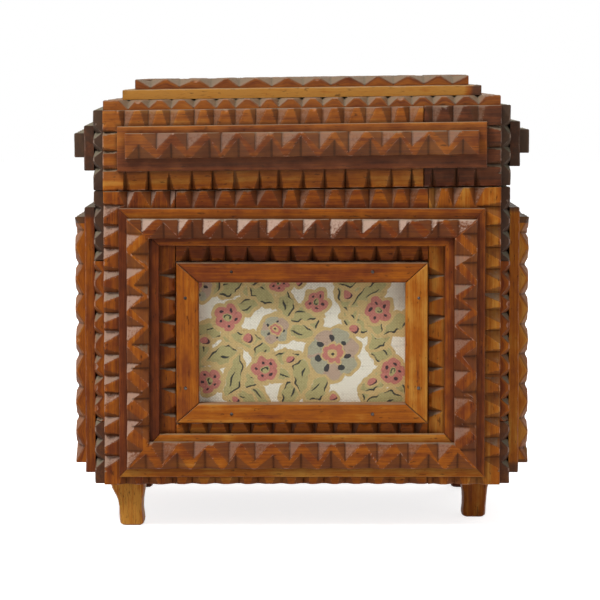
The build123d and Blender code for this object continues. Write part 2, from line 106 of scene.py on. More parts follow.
class BoxSizes(bpy.types.PropertyGroup):
    """Sizes of the carved layers that a maker would change."""

    fine_pitch: length_setting("Fine Pitch", "Distance between fine notches", 10.8 * MM)
    fine_land: length_setting(
        "Fine Land", "Flat left between fine notches on an outer edge", 2.2 * MM)
    fine_reach: length_setting("Fine Reach", "How far a fine notch runs over the face", 12.0 * MM)
    inner_land: length_setting(
        "Inner Land", "Flat left between the notches of an inner edge", 5.0 * MM)
    inner_reach: length_setting(
        "Inner Reach", "How far a notch runs in from an inner edge", 8.8 * MM)
    coarse_pitch: length_setting("Coarse Pitch", "Distance between coarse notches", 15.8 * MM)
    coarse_land: length_setting("Coarse Land", "Flat left between coarse notches", 0.9 * MM)
    coarse_reach: length_setting(
        "Coarse Reach", "How far a coarse notch runs over the face", 8.8 * MM)
    notch_drop: length_setting("Notch Drop", "How far a notch cuts down the strip's edge", 4.3 * MM)
    corner_land: length_setting(
        "Corner Land", "Wood left whole at the corners of a base layer", 6.5 * MM)
    grid_step: length_setting("Grid Step", "Mesh step where the wood is carved", 0.6 * MM)
    edge_wear: length_setting("Edge Wear", "Radius worn on the strips' edges", 0.45 * MM)
    lean: length_setting("Lean", "How far the lid has settled at its left front corner", 2.3 * MM)
    seed: IntProperty(name="Seed", description="Start of every random choice", default=11)


class BoxColours(bpy.types.PropertyGroup):
    """Colours of the wood, its wear and the cloth."""

    dark: colour_setting("Dark", "Darkest varnished wood", 0.062, 0.0135, 0.005)
    red_brown: colour_setting("Red Brown", "Common varnished wood", 0.170, 0.038, 0.009)
    amber: colour_setting("Amber", "Pale varnished wood", 0.360, 0.100, 0.009)
    gold: colour_setting("Gold", "Palest varnished wood", 0.500, 0.220, 0.036)
    cut: colour_setting("Cut", "Wood on the faces of the notches", 0.125, 0.048, 0.021)
    # This colour is also used for the painted highlight on carved faces that look towards the key
    # light.
    bare: colour_setting("Bare", "Wood where the varnish has worn off", 0.500, 0.350, 0.270)
    grey: colour_setting("Grey", "Weathered wood on the sides", 0.046, 0.031, 0.023)
    dust: colour_setting("Dust", "Dust on faces that look up", 0.200, 0.175, 0.120)
    # This colour is used for pores and flecks, and also paints shade, with some grime, in the notch
    # valleys and along the edges of covering strips.
    grime: colour_setting("Grime", "Dirt in the corners", 0.020, 0.008, 0.005)
    ground: colour_setting("Cloth Ground", "Unprinted cloth", 0.900, 0.855, 0.715)
    leaf: colour_setting("Leaf", "Olive print of the leaves", 0.440, 0.385, 0.140)
    ochre: colour_setting("Ochre", "Print round the leaves and in the blooms", 0.630, 0.440, 0.160)
    petal: colour_setting("Petal", "Pink-red print of the small flowers", 0.560, 0.160, 0.122)
    bloom: colour_setting("Bloom", "Grey-mauve print of the large bloom", 0.490, 0.335, 0.235)
    mist: colour_setting("Mist", "Grey-blue print in the large bloom", 0.430, 0.420, 0.290)
    ink: colour_setting("Ink", "Dark print of veins and seeds", 0.014, 0.017, 0.024)
    weave: colour_setting("Weave", "Shade between the threads", 0.300, 0.270, 0.200)


class StageSettings(bpy.types.PropertyGroup):
    """Where the camera stands."""

    distance: length_setting("Distance", "From the camera to the front of the box", 1.5)
    height: length_setting("Height", "Of the camera above the floor", 0.228)
    tilt: FloatProperty(
        name="Tilt", description="How far the camera looks down",
        default=math.radians(4.31), subtype="ANGLE")
    lens: FloatProperty(name="Lens", description="Focal length in millimetres", default=182.5)


class Wall:
    """One face of the box: its origin, and the ways its width, height and outside run."""

    def __init__(self, origin, across, up):
        self.origin = np.array(origin, float)
        self.across = np.array(across, float)
        self.up = np.array(up, float)
        self.out = np.cross(self.across, self.up)

    def place(self, plan, height):
        """Points in the box's space, from places on the face and heights off it."""
        return (self.origin + np.outer(plan[:, 0], self.across) + np.outer(plan[:, 1], self.up)
                + np.outer(height, self.out))


FRONT = Wall((0, -DEPTH / 2, 0), (1, 0, 0), (0, 0, 1))
BACK = Wall((0, DEPTH / 2, 0), (-1, 0, 0), (0, 0, 1))
RIGHT = Wall((WIDTH / 2, 0, 0), (0, 1, 0), (0, 0, 1))
LEFT = Wall((-WIDTH / 2, 0, 0), (0, -1, 0), (0, 0, 1))
TOP = Wall((0, 0, LID_TOP), (1, 0, 0), (0, 1, 0))


# Outlines on the walls, as (left, bottom, right, top)

def inset(rect, side, bottom, upper):
    """A rectangle drawn in by three widths."""
    return (rect[0] + side, rect[1] + bottom, rect[2] - side, rect[3] - upper)


def wall_rect(width, bottom, upper):
    """A whole wall."""
    return (-width / 2, bottom, width / 2, upper)


def ring_rects(face):
    """Plain ring, raised ring and the opening in the base layer, each outside and inside."""
    plain = inset(face, 8 * MM, 4.5 * MM, 10.5 * MM)
    plain_in = inset(plain, 20 * MM, 21.5 * MM, 18.5 * MM)
    raised = inset(plain, 4 * MM, 4.5 * MM, 5 * MM)
    raised_in = inset(raised, 11 * MM, 13 * MM, 9.5 * MM)
    opening = inset(plain_in, 8 * MM, 5 * MM, 8 * MM)
    return plain, plain_in, raised, raised_in, opening


FRONT_FACE = wall_rect(WIDTH, FOOT, RIM)
SIDE_FACE = wall_rect(DEPTH, FOOT, RIM)
LID_FRONT_FACE = wall_rect(WIDTH, LID_BOTTOM, LID_TOP)
LID_SIDE_FACE = wall_rect(DEPTH, LID_BOTTOM, LID_TOP)
TOP_FACE = wall_rect(WIDTH, -DEPTH / 2, DEPTH / 2)
NOWHERE = (1, 1, -1, -1)
SLOTS = (1, 2, 3, 4)  # places for a strip's rows: outer, inner and the two ends


# Strips of wood and their rows of notches

def notch_of(kind):
    """The sizes of a kind of notch: fine, inner or coarse."""
    sizes = bpy.context.scene.box_sizes
    pitch = sizes.coarse_pitch if kind == "coarse" else sizes.fine_pitch
    return Notch(pitch, getattr(sizes, f"{kind}_land"), getattr(sizes, f"{kind}_reach"),
                 sizes.notch_drop)


def row_counts(rect, notch, margin=0.0):
    """How many notches go along a rectangle's width and height."""
    return (max(1, round((rect[2] - rect[0] - 2 * margin) / notch.pitch)),
            max(1, round((rect[3] - rect[1] - 2 * margin) / notch.pitch)))


def edge_rows(rect, notch, facing=1, margin=0.0, counts=None):
    """Rows of notches along a rectangle's four edges: facing 1 for an outer edge, -1 for inner."""
    l, b, r, t = rect
    across, upright = counts or row_counts(rect, notch, margin)
    sides = {
        "bottom": ((l + margin, b), (r - margin, b), (0, facing), across),
        "right": ((r, b + margin), (r, t - margin), (-facing, 0), upright),
        "top": ((r - margin, t), (l + margin, t), (0, -facing), across),
        "left": ((l, t - margin), (l, b + margin), (facing, 0), upright),
    }
    return {name: Row(*side, notch.reach, notch.drop, 1) for name, side in sides.items()}


# A side's direction, the place of its edge in a rectangle, and whether it runs forwards
SIDES = {"bottom": (0, 1, True), "right": (1, 2, True), "top": (0, 3, False), "left": (1, 0, False)}
ENDS = {"left": ("top", "bottom"), "right": ("bottom", "top"),
        "bottom": ("left", "right"), "top": ("right", "left")}
STILES = ("left", "right")
RAILS = ("bottom", "top")


def strip_corners(outer, inner, through=()):
    """Corners of the four strips of a ring: mitred, or butted between two that run through."""
    strips = {}
    for name, (axis, edge, forwards) in SIDES.items():
        whole, open_part = (outer[axis], outer[axis + 2]), (inner[axis], inner[axis + 2])
        if name in through:
            spans, gap = (whole, whole), 0.0
        elif through:
            spans, gap = (open_part, open_part), BUTT_GAP
        else:
            spans, gap = (whole, open_part), MITRE_GAP
        spans = [(low + gap, high - gap)[::1 if forwards else -1] for low, high in spans]
        corners = [(spans[0][0], outer[edge]), (spans[0][1], outer[edge]),
                   (spans[1][1], inner[edge]), (spans[1][0], inner[edge])]
        strips[name] = [corner[::-1 if axis else 1] for corner in corners]
    return strips


def ring(outer, inner, level, tones, through=(), rows=None, inner_rows=None, **more):
    """The four strips of one ring, by name, with the rows of notches that cross each."""
    strips = {}
    for name, corners in strip_corners(outer, inner, through).items():
        own = []
        if rows:
            own.append(rows[name])
            if name in through:
                own += [rows[end]._replace(slot=3 + i) for i, end in enumerate(ENDS[name])]
        if inner_rows:
            own.append(inner_rows[name]._replace(slot=2))
        strips[name] = Strip(corners, level, LAYER, own, tones[name],
                             free_ends=name in through, **more)
    return strips


def base_ring(face, opening, cover, through, tones, grey=0.0):
    """The lowest layer of a wall, with fine notches outside and inside."""
    margin = bpy.context.scene.box_sizes.corner_land
    outer = edge_rows(face, notch_of("fine"), margin=margin)
    inner = edge_rows(opening, notch_of("inner"), facing=-1)
    return ring(face, opening, 0, tones, through, outer, inner, grey=grey, cover=cover)


def raised_ring(rect, inner_rect, tones, grey=0.0, staggered=True):
    """The third layer of a wall, with coarse notches on both edges."""
    notch = notch_of("coarse")
    if not staggered:
        notch = notch._replace(reach=0.9 * notch.reach)
    across, upright = row_counts(rect, notch)
    outer = edge_rows(rect, notch, counts=(across, upright))
    if staggered:
        inner = edge_rows(inner_rect, notch, facing=-1, counts=(across - 1, upright - 1))
    else:
        inner = {
            name: row._replace(inward=(-row.inward[0], -row.inward[1]),
                               start=shifted(row.start, row.inward, inner_rect),
                               end=shifted(row.end, row.inward, inner_rect))
            for name, row in outer.items()}
    return ring(rect, inner_rect, 2 * LAYER, tones, (), outer, inner, grey=grey)


def shifted(point, inward, inner):
    """A place on an outer edge moved straight in to the inner edge."""
    x = inner[0] if inward[0] > 0 else inner[2] if inward[0] < 0 else point[0]
    y = inner[1] if inward[1] > 0 else inner[3] if inward[1] < 0 else point[1]
    return (x, y)


def lone_strip(rect, level, rows, tone, **more):
    """One strip by itself: bottom, top, left and right rows take slots 1 to 4."""
    l, b, r, t = rect
    slots = {"bottom": 1, "top": 2, "left": 3, "right": 4}
    own = [row._replace(slot=slots[name]) for name, row in rows.items()]
    return Strip(((l, b), (r, b), (r, t), (l, t)), level, LAYER, own, tone,
                 free_ends=True, **more)


def grid_lines(length, step, start_reach, end_reach):
    """Distances along one side of a strip, close together within reach of a carved edge."""
    rim = (0.0, 0.15 * MM, 0.5 * MM)
    lines = list(rim) + [length - d for d in rim]
    spot = rim[-1]
    while True:
        near = spot < start_reach or spot > length - end_reach - PLAIN_STEP
        spot += step if near else PLAIN_STEP
        if spot > length - rim[-1] - step / 2:
            return np.unique(np.round(lines, 7))
        lines.append(spot)


def strip_grid(rows, run, depth, step):
    """Shares of a strip's length and depth at each vertex of its upper face."""
    reach = dict.fromkeys(SLOTS, 0.0)
    for row in rows:
        reach[row.slot] = 1.15 * row.reach  # the longest notches run on a little
    along = (run, run) if max(reach[1], reach[2]) > 0 else (reach[3], reach[4])
    across = (depth, depth) if max(reach[3], reach[4]) > 0 else (reach[1], reach[2])
    return np.meshgrid(grid_lines(run, step, *along) / run,
                       grid_lines(depth, step, *across) / depth, indexing="ij")


def boundary(n, m):
    """Places of an n by m grid's outer vertices, in order round it."""
    index = np.arange(n * m).reshape(n, m)
    return np.concatenate([index[:-1, 0], index[-1, :-1], index[:0:-1, -1], index[0, :0:-1]])


def grid_quads(n, m):
    """The faces of an n by m grid."""
    index = np.arange(n * m).reshape(n, m)
    quads = np.stack([index[:-1, :-1], index[1:, :-1], index[1:, 1:], index[:-1, 1:]], -1)
    return quads.reshape(-1, 4)


def band(upper, lower):
    """Faces between two loops of vertices, one below the other."""
    return np.stack([upper, lower, np.roll(lower, -1), np.roll(upper, -1)], -1).tolist()


class Sheaf:
    """Collects strips as closed blocks with fine upper faces, to make one mesh of them."""

    def __init__(self, seed):
        self.random = np.random.default_rng(seed)
        self.points, self.faces, self.count, self.values = [], [], 0, {}

    def keep(self, name, array):
        """Keeps values for the vertices of the strip being added."""
        self.values.setdefault(name, []).append(np.asarray(array, float))

    def add(self, wall, strip, step, uneven):
        """Adds one strip."""
        a, b, c, d = (np.array(p, float) for p in strip.corners)
        run = np.linalg.norm(b - a)
        way = (b - a) / run
        side = np.array([-way[1], way[0]])
        depth = (d - a) @ side
        p, q = strip_grid(strip.rows, run, depth, step)
        n, m = p.shape

        # The upper face, its corners a little out of true, with beds cut for hinge leaves
        jitter = self.random.normal(0, 0.13 * MM * uneven, 4)
        a, b = a + side * abs(jitter[0]), b + side * abs(jitter[1])
        c, d = c + side * jitter[2], d + side * jitter[3]
        plan = ((1 - p) * (1 - q))[..., None] * a + (p * (1 - q))[..., None] * b
        plan = plan + (p * q)[..., None] * c + ((1 - p) * q)[..., None] * d
        plan = plan.reshape(-1, 2)
        for start, end, cut in strip.mortises:
            bed = (plan[:, 0] > start) & (plan[:, 0] < end)
            plan[bed] += cut * np.outer(1 - (plan[bed] - a) @ side / depth, side)

        # The block's sides and underside, hung from the edge of the upper face
        loop = boundary(n, m)
        skirt = plan[loop]
        plan = np.concatenate([plan, skirt, skirt, skirt])
        count = len(loop)
        parts = np.repeat(np.arange(4), (n * m, count, count, count))
        slack = min(abs(self.random.normal(0, 0.08 * MM * uneven)), 0.25 * MM)
        top = strip.level + strip.thickness - slack
        heights = np.array([top, top - 0.12 * MM, top - 0.55 * MM, strip.level])[parts]
        self.points.append(wall.place(plan, heights))
        loops = [loop] + [np.arange(count) + n * m + i * count for i in range(3)]
        loops = [each + self.count for each in loops]
        self.faces += (grid_quads(n, m) + self.count).tolist()
        for upper, lower in zip(loops, loops[1:]):
            self.faces += band(upper, lower)
        self.faces.append(loops[-1][::-1].tolist())
        self.count += len(plan)

        self.keep("out", np.outer(np.array([1.0, 1.0, 0.95, 0.0])[parts], wall.out))
        self.keep("open", np.array([1.0, 1.0, 0.0, 0.0])[parts])
        ends = np.minimum(p, 1 - p) * run + (0 if strip.free_ends else 0.3 * MM)
        sides = np.minimum(q, 1 - q) * depth
        inward = np.minimum(ends, sides).ravel()
        self.keep("rim", np.concatenate([inward, np.tile(inward[loop], 3)]))
        self.keep_looks(strip, plan, np.stack([plan @ way, plan @ side, heights], 1))
        self.keep_rows(plan, strip.rows)

    def keep_looks(self, strip, plan, grain):
        """Keeps what the wood's material reads."""
        self.keep("tone", np.full(len(plan), strip.tone + self.random.normal(0, 0.025)))
        self.keep("grey", np.full(len(plan), strip.grey))
        self.keep("scuff", np.full(len(plan), strip.scuff))
        self.keep("strip", np.full(len(plan), self.random.integers(0, 999)))
        self.keep("grain", grain + self.random.uniform(0, 3, 3))
        self.keep("tuck", tucked(plan, strip.cover))

    def keep_rows(self, plan, rows):
        """Keeps each vertex's place in every row: along it in notches, across it, and the drop."""
        for slot in SLOTS:
            data = np.zeros((len(plan), 3))
            data[:, 1] = 3
            for row in (r for r in rows if r.slot == slot):
                start, end = np.array(row.start), np.array(row.end)
                run = np.linalg.norm(end - start)
                s = (plan - start) @ (end - start) / run
                t = (plan - start) @ np.array(row.inward, float)
                inside = (s >= 0) & (s <= run)
                data[:, 0] = np.where(inside, s / run * row.count, 0)
                data[:, 1] = np.where(inside, np.maximum(t, 0) / row.reach, 3)
                data[:, 2] = row.drop
            self.keep(f"row_{slot}", data)

    def mesh(self, name):
        """One mesh of all strips, with their values as attributes."""
        mesh = bpy.data.meshes.new(name)
        mesh.from_pydata(np.concatenate(self.points).tolist(), [], self.faces)
        for key, parts in self.values.items():
            store(mesh, key, np.concatenate(parts))
        mesh.update()
        return mesh


def store(mesh, name, data):
    """Keeps an array on a mesh's vertices under a name."""
    vector = data.ndim == 2
    slot = mesh.attributes.new(name, "FLOAT_VECTOR" if vector else "FLOAT", "POINT")
    slot.data.foreach_set("vector" if vector else "value", np.ravel(data))


def tucked(plan, cover):
    """How close each vertex lies to the strips laid over it: 1 at their edge or under them."""
    if cover is None:
        return np.zeros(len(plan))
    outer, inner = cover
    u, v = plan[:, 0], plan[:, 1]
    outside = np.maximum.reduce([outer[0] - u, u - outer[2], outer[1] - v, v - outer[3]])
    inside = np.minimum.reduce([u - inner[0], inner[2] - u, v - inner[1], inner[3] - v])
    return np.clip(1 - np.maximum(outside, inside) / (2 * MM), 0, 1)


def vertex_places(mesh):
    """A mesh's vertices as an array."""
    places = np.empty(len(mesh.vertices) * 3)
    mesh.vertices.foreach_get("co", places)
    return places.reshape(-1, 3)


def lean_over(mesh, whole_depth=False):
    """Settles the rim and the lid a little at the left front corner."""
    lean = bpy.context.scene.box_sizes.lean
    places = vertex_places(mesh)
    start = RIM - 10 * MM
    share = np.clip((places[:, 2] - start) / (RIM - start), 0, 1)
    share += 0.2 * np.clip((places[:, 2] - RIM) / (CAD_BOUNDS[1][2] - RIM), 0, 1)
    from_right = np.clip(0.5 - places[:, 0] / WIDTH, 0, 1)
    from_back = 1 if whole_depth else np.clip(0.5 - places[:, 1] / DEPTH, 0, 1)
    places[:, 2] -= share * from_right * from_back * lean
    mesh.vertices.foreach_set("co", places.ravel())
    mesh.update()


# Node wiring

STRIP_KEY = 57.0  # keeps the random keys of one strip's notches apart from the next strip's
ROW_KEY = 7.0  # and those of one row from the next row's


def fill(tree, node, links):
    """Joins or sets a node's inputs by name or number."""
    for key, value in links.items():
        if isinstance(value, bpy.types.NodeSocket):
            tree.links.new(value, node.inputs[key])
        else:
            node.inputs[key].default_value = value
    return node


def put(tree, kind, links=None, **settings):
    """Adds a node and sets it up."""
    made = tree.nodes.new(kind)
    for key, value in settings.items():
        setattr(made, key, value)
    return fill(tree, made, links or {})


def calc(tree, operation, *values, clamp=False):
    """A math node's result; a sum, product or maximum takes any number of values."""
    if operation in ("ADD", "MULTIPLY", "MAXIMUM") and len(values) > 2:
        values = (calc(tree, operation, *values[:-1]), values[-1])
    links = dict(enumerate(values))
    return put(tree, "ShaderNodeMath", links, operation=operation, use_clamp=clamp).outputs[0]


def spread(tree, value, low, high, out_low=0.0, out_high=1.0):
    """A value mapped from one range to another and held at its ends."""
    links = {"Value": value, "From Min": low, "From Max": high,
             "To Min": out_low, "To Max": out_high}
    return put(tree, "ShaderNodeMapRange", links).outputs["Result"]


def new_group(name, kind, inputs, outputs):
    """An empty node group and the sockets inside its ends: first what it is given, then made.

    Each input has a default number or the kind of its socket."""
    tree = bpy.data.node_groups.new(name, kind)
    for label, given in inputs.items():
        number = {float: "Float", int: "Int"}.get(type(given))
        socket = tree.interface.new_socket(
            label, in_out="INPUT", socket_type=f"NodeSocket{number or given}")
        if number:
            socket.default_value = given
    for label in outputs:
        result = "Geometry" if label == "Geometry" else "Float"
        tree.interface.new_socket(label, in_out="OUTPUT", socket_type=f"NodeSocket{result}")
    return tree, tree.nodes.new("NodeGroupInput").outputs, tree.nodes.new("NodeGroupOutput").inputs


def stretched(tree, place, scale, **noise):
    """Noise drawn out by a scale for each axis."""
    drawn_out = put(tree, "ShaderNodeVectorMath", {0: place, 1: scale}, operation="MULTIPLY")
    links = {"Vector": drawn_out.outputs[0], "Scale": 1.0, **noise}
    return put(tree, "ShaderNodeTexNoise", links).outputs[0]


def groove_group():
    """One row of knife notches, from each vertex's place in the row."""
    tree, given, made = new_group(
        "knife notches", "GeometryNodeTree",
        {"Row": "Vector", "Land": 0.2, "Lean": 0.0, "Uneven": 1.0, "Strip": 0.0, "Seed": 0},
        ("Depth", "Cut", "Worn", "Valley"))
    do = partial(calc, tree)
    place, inward, drop = put(tree, "ShaderNodeSeparateXYZ", {0: given["Row"]}).outputs
    cell, tip = do("FLOOR", place), do("ROUND", place)

    def chance(number, nudge, size):
        """A random value of either sign for each notch, scaled by how uneven the work is.

        The nudge gives each use of it values of its own."""
        key = do("MULTIPLY_ADD", given["Strip"], STRIP_KEY, number)
        found = put(tree, "FunctionNodeRandomValue", None, data_type="FLOAT")
        fill(tree, found, {2: -1.0, 3: 1.0, "ID": do("ADD", key, nudge), "Seed": given["Seed"]})
        return do("MULTIPLY", found.outputs[1], size, given["Uneven"])

    # Two slopes that meet in a valley and run out over the face
    spot = do("SUBTRACT", do("SUBTRACT", place, cell), 0.5)
    middle = do("ADD", chance(cell, 0.0, 0.08), given["Lean"])
    away = do("SUBTRACT", spot, middle)
    half = do("MULTIPLY_ADD", given["Land"], -0.5, 0.5)
    side = do("SUBTRACT", half, do("MULTIPLY", middle, do("SIGN", away)))
    slope = do("DIVIDE", do("ABSOLUTE", away), side)
    stretch = do("ADD", chance(cell, 300.0, 0.12), 1.0)
    rise = do("MULTIPLY_ADD", inward, do("MULTIPLY", stretch, -1.0), 1.0)
    rise = do("SUBTRACT", rise, slope)
    soft = do("SMOOTH_MAX", rise, 0.0, 0.03)
    deep = do("ADD", chance(cell, 600.0, 0.1), 0.96)
    depth = do("MULTIPLY", soft, deep, drop)

    # Some of the tips between notches are broken off
    off_tip = do("ABSOLUTE", do("SUBTRACT", place, tip))
    blunt = do("MULTIPLY_ADD", off_tip, -3.2, do("MULTIPLY_ADD", inward, -5.0, 1.0))
    chipped = do("GREATER_THAN", chance(tip, 900.0, 1.0), 0.66)
    blunt = do("MULTIPLY", do("MAXIMUM", blunt, 0.0), chipped)
    made_depth = do("MAXIMUM", depth, do("MULTIPLY", blunt, drop, 0.35))

    cut = spread(tree, rise, 0.0, 0.04)
    crest = do("MULTIPLY_ADD", do("ABSOLUTE", rise), -18.0, 1.0)
    point = do("MAXIMUM", do("MULTIPLY_ADD", inward, -8.0, 1.0), 0.0)
    point = do("MULTIPLY", point, do("SUBTRACT", 1.0, cut))
    live = do("LESS_THAN", inward, 1.3)
    worn = do("MULTIPLY", do("MAXIMUM", crest, point, blunt, 0.0), live)
    valley = do("MAXIMUM", do("MULTIPLY_ADD", do("ABSOLUTE", away), -20.0, 1.0), 0.0)
    found = {"Depth": made_depth, "Cut": cut, "Worn": worn, "Valley": do("MULTIPLY", valley, cut)}
    for label, value in found.items():
        tree.links.new(value, made[label])
    return tree


def carving_group():
    """Carves flat strips: four rows of notches, worn edges and an uneven surface."""
    groove = groove_group()
    tree, given, made = new_group(
        "carve strips", "GeometryNodeTree",
        {"Geometry": "Geometry", "Outer Land": 0.2, "Inner Land": 0.4, "Lean": 0.0,
         "Uneven": 1.0, "Edge Wear": 0.4 * MM, "Seed": 0, "Material": "Material"},
        ("Geometry",))
    do = partial(calc, tree)

    def named(name, kind="FLOAT"):
        """A value that the mesh carries."""
        links = {"Name": name}
        return put(tree, "GeometryNodeInputNamedAttribute", links, data_type=kind).outputs[0]

    rows = []
    for slot in SLOTS:
        cut = put(tree, "GeometryNodeGroup", None, node_tree=groove)
        rows.append(fill(tree, cut, {
            "Row": named(f"row_{slot}", "FLOAT_VECTOR"),
            "Land": given["Inner Land" if slot == 2 else "Outer Land"],
            "Lean": given["Lean"] if slot == 1 else 0.0,
            "Uneven": given["Uneven"], "Seed": given["Seed"],
            "Strip": do("ADD", named("strip"), slot * ROW_KEY)}).outputs)
    depth, cut, worn, valley = (do("MAXIMUM", *(row[label] for row in rows))
                                for label in ("Depth", "Cut", "Worn", "Valley"))

    place = put(tree, "GeometryNodeInputPosition").outputs[0]
    bumps = put(tree, "ShaderNodeTexNoise", {"Vector": place, "Scale": 130.0, "Detail": 3.0})
    rough = do("SUBTRACT", bumps.outputs[0], 0.35, clamp=True)
    rough = do("MULTIPLY", rough, 0.6 * MM, given["Uneven"])
    wear = given["Edge Wear"]
    near = do("SUBTRACT", 1.0, do("DIVIDE", named("rim"), wear), clamp=True)
    rounding = do("MULTIPLY", do("POWER", near, 2.0), wear)
    sink = do("MINIMUM", do("ADD", depth, rounding, rough), CUT_LIMIT)
    links = {0: named("out", "FLOAT_VECTOR"), "Scale": do("MULTIPLY", sink, -1.0)}
    shift = put(tree, "ShaderNodeVectorMath", links, operation="SCALE").outputs[0]
    links = {"Geometry": given["Geometry"], "Offset": shift}
    moved = put(tree, "GeometryNodeSetPosition", links).outputs[0]
    worn = do("MAXIMUM", worn, do("MULTIPLY", near, 0.7))
    for name, value in (("cut", cut), ("valley", valley), ("worn", worn)):
        links = {"Geometry": moved, "Name": name, "Value": do("MULTIPLY", value, named("open"))}
        moved = put(tree, "GeometryNodeStoreNamedAttribute", links).outputs[0]
    finish_group(tree, moved, given["Material"], made["Geometry"])
    return tree


def finish_group(tree, shape, coat, end):
    """Ends a geometry tree in real geometry with its material."""
    whole = put(tree, "GeometryNodeRealizeInstances", {0: shape}).outputs[0]
    links = {"Geometry": whole, "Material": coat}
    tree.links.new(put(tree, "GeometryNodeSetMaterial", links).outputs[0], end)


def brad_group():
    """Domed heads, one on every point, each a little off true."""
    tree, given, made = new_group(
        "set brads", "GeometryNodeTree",
        {"Geometry": "Geometry", "Head Radius": 0.9 * MM, "Dome": 0.5, "Seed": 0,
         "Material": "Material"},
        ("Geometry",))
    ball = put(tree, "GeometryNodeMeshUVSphere",
               {"Segments": 14, "Rings": 8, "Radius": given["Head Radius"]})
    flat = put(tree, "ShaderNodeCombineXYZ", {0: 1.0, 1: 1.0, 2: given["Dome"]})
    head = put(tree, "GeometryNodeTransform",
               {"Geometry": ball.outputs["Mesh"], "Scale": flat.outputs[0]})
    facing = put(tree, "GeometryNodeInputNamedAttribute", {"Name": "out"},
                 data_type="FLOAT_VECTOR").outputs[0]
    wobble = put(tree, "FunctionNodeRandomValue", None, data_type="FLOAT_VECTOR")
    fill(tree, wobble, {0: (-0.12,) * 3, 1: (0.12,) * 3, "Seed": given["Seed"]})
    tilted = put(tree, "ShaderNodeVectorMath", {0: facing, 1: wobble.outputs[0]},
                 operation="ADD").outputs[0]
    turned = put(tree, "FunctionNodeAlignRotationToVector", {"Vector": tilted}, axis="Z")
    size = put(tree, "FunctionNodeRandomValue", None, data_type="FLOAT")
    fill(tree, size, {2: 0.8, 3: 1.0, "Seed": given["Seed"]})
    heads = put(tree, "GeometryNodeInstanceOnPoints",
                {"Points": given["Geometry"], "Instance": head.outputs[0],
                 "Rotation": turned.outputs[0], "Scale": size.outputs[1]})
    smooth = put(tree, "GeometryNodeSetShadeSmooth", {"Geometry": heads.outputs[0]})
    finish_group(tree, smooth.outputs[0], given["Material"], made["Geometry"])
    return tree


def run_nodes(obj, tree, values):
    """Applies a geometry node tree to an object, with values for its named inputs."""
    modifier = obj.modifiers.new(tree.name, "NODES")
    modifier.node_group = tree
    for item in tree.interface.items_tree:
        if item.item_type == "SOCKET" and item.in_out == "INPUT" and item.name in values:
            modifier[item.identifier] = values[item.name]
    graph = bpy.context.evaluated_depsgraph_get()
    mesh = bpy.data.meshes.new_from_object(
        obj.evaluated_get(graph), preserve_all_data_layers=True, depsgraph=graph)
    obj.modifiers.clear()
    old, obj.data = obj.data, mesh
    bpy.data.meshes.remove(old)
    mesh.name = obj.name


# Materials

def grain_group():
    """Streaks, fine lines and pores of wood, from a vector that runs along the grain first."""
    looks = {"Streaks": ((9, 260, 260), 4.0), "Lines": ((45, 1300, 1300), 3.0),
             "Pores": ((210, 3600, 3600), 2.0), "Blotches": ((75, 110, 110), 3.0),
             "Flecks": ((190, 620, 620), 3.0)}
    tree, given, made = new_group("wood grain", "ShaderNodeTree", {"Grain": "Vector"}, looks)
    for name, (scale, detail) in looks.items():
        noise = stretched(tree, given["Grain"], scale, Detail=detail, Roughness=0.6)
        tree.links.new(noise, made[name])
    return tree


def patches_group():
    """A mask broken up by noise, as where varnish wears through or dust settles."""
    tree, given, made = new_group(
        "broken patches", "ShaderNodeTree",
        {"Mask": 0.0, "Place": "Vector", "Scale": 500.0, "Bite": 0.6}, ("Patches",))
    noise = put(tree, "ShaderNodeTexNoise",
                {"Vector": given["Place"], "Scale": given["Scale"], "Detail": 4.0,
                 "Roughness": 0.65}).outputs[0]
    eaten = calc(tree, "MULTIPLY", calc(tree, "SUBTRACT", 1.0, noise), given["Bite"])
    left = calc(tree, "SUBTRACT", given["Mask"], eaten)
    tree.links.new(spread(tree, left, 0.0, 0.35), made["Patches"])
    return tree


def weave_group():
    """Threads of a plain weave: how high they stand and how thick they are at each place."""
    tree, given, made = new_group(
        "plain weave", "ShaderNodeTree", {"Place": "Vector", "Threads": 1500.0},
        ("Height", "Slub"))
    do = partial(calc, tree)
    wander = put(tree, "ShaderNodeTexNoise",
                 {"Vector": given["Place"], "Scale": 160.0, "Detail": 2.0}).outputs[1]
    bent = put(tree, "ShaderNodeVectorMath", {0: wander, "Scale": 0.7 * MM}, operation="SCALE")
    bent = put(tree, "ShaderNodeVectorMath", {0: given["Place"], 1: bent.outputs[0]},
               operation="ADD").outputs[0]
    across, up, _ = put(tree, "ShaderNodeSeparateXYZ", {0: bent}).outputs
    turn = do("MULTIPLY", given["Threads"], math.pi)
    warp, weft = (do("SINE", do("MULTIPLY", way, turn)) for way in (across, up))
    threads = do("MAXIMUM", do("ABSOLUTE", warp), do("ABSOLUTE", weft))
    height = do("MULTIPLY_ADD", do("MULTIPLY", warp, weft), 0.25, do("MULTIPLY", threads, 0.75))
    tree.links.new(height, made["Height"])
    slubs = [stretched(tree, given["Place"], scale, Detail=1.0)
             for scale in ((110, 1150, 1), (1150, 110, 1), (900, 900, 1))]
    tree.links.new(do("DIVIDE", do("ADD", *slubs), 3.0), made["Slub"])
    return tree


def use(tree, group, links):
    """A shader group's outputs, with its inputs joined."""
    made = put(tree, "ShaderNodeGroup", None, node_tree=bpy.data.node_groups[group])
    return fill(tree, made, links).outputs


def patches(tree, mask, place, scale, bite):
    """A mask that noise of a scale has bitten into."""
    links = {"Mask": mask, "Place": place, "Scale": scale, "Bite": bite}
    return use(tree, "broken patches", links)["Patches"]


def blend(tree, share, under, over, mode="MIX"):
    """One colour laid over another by a share."""
    made = put(tree, "ShaderNodeMix", None, data_type="RGBA", blend_type=mode)
    under, over = (c if isinstance(c, bpy.types.NodeSocket) else (*c[:3], 1.0)
                   for c in (under, over))
    return fill(tree, made, {0: share, 6: under, 7: over}).outputs[2]


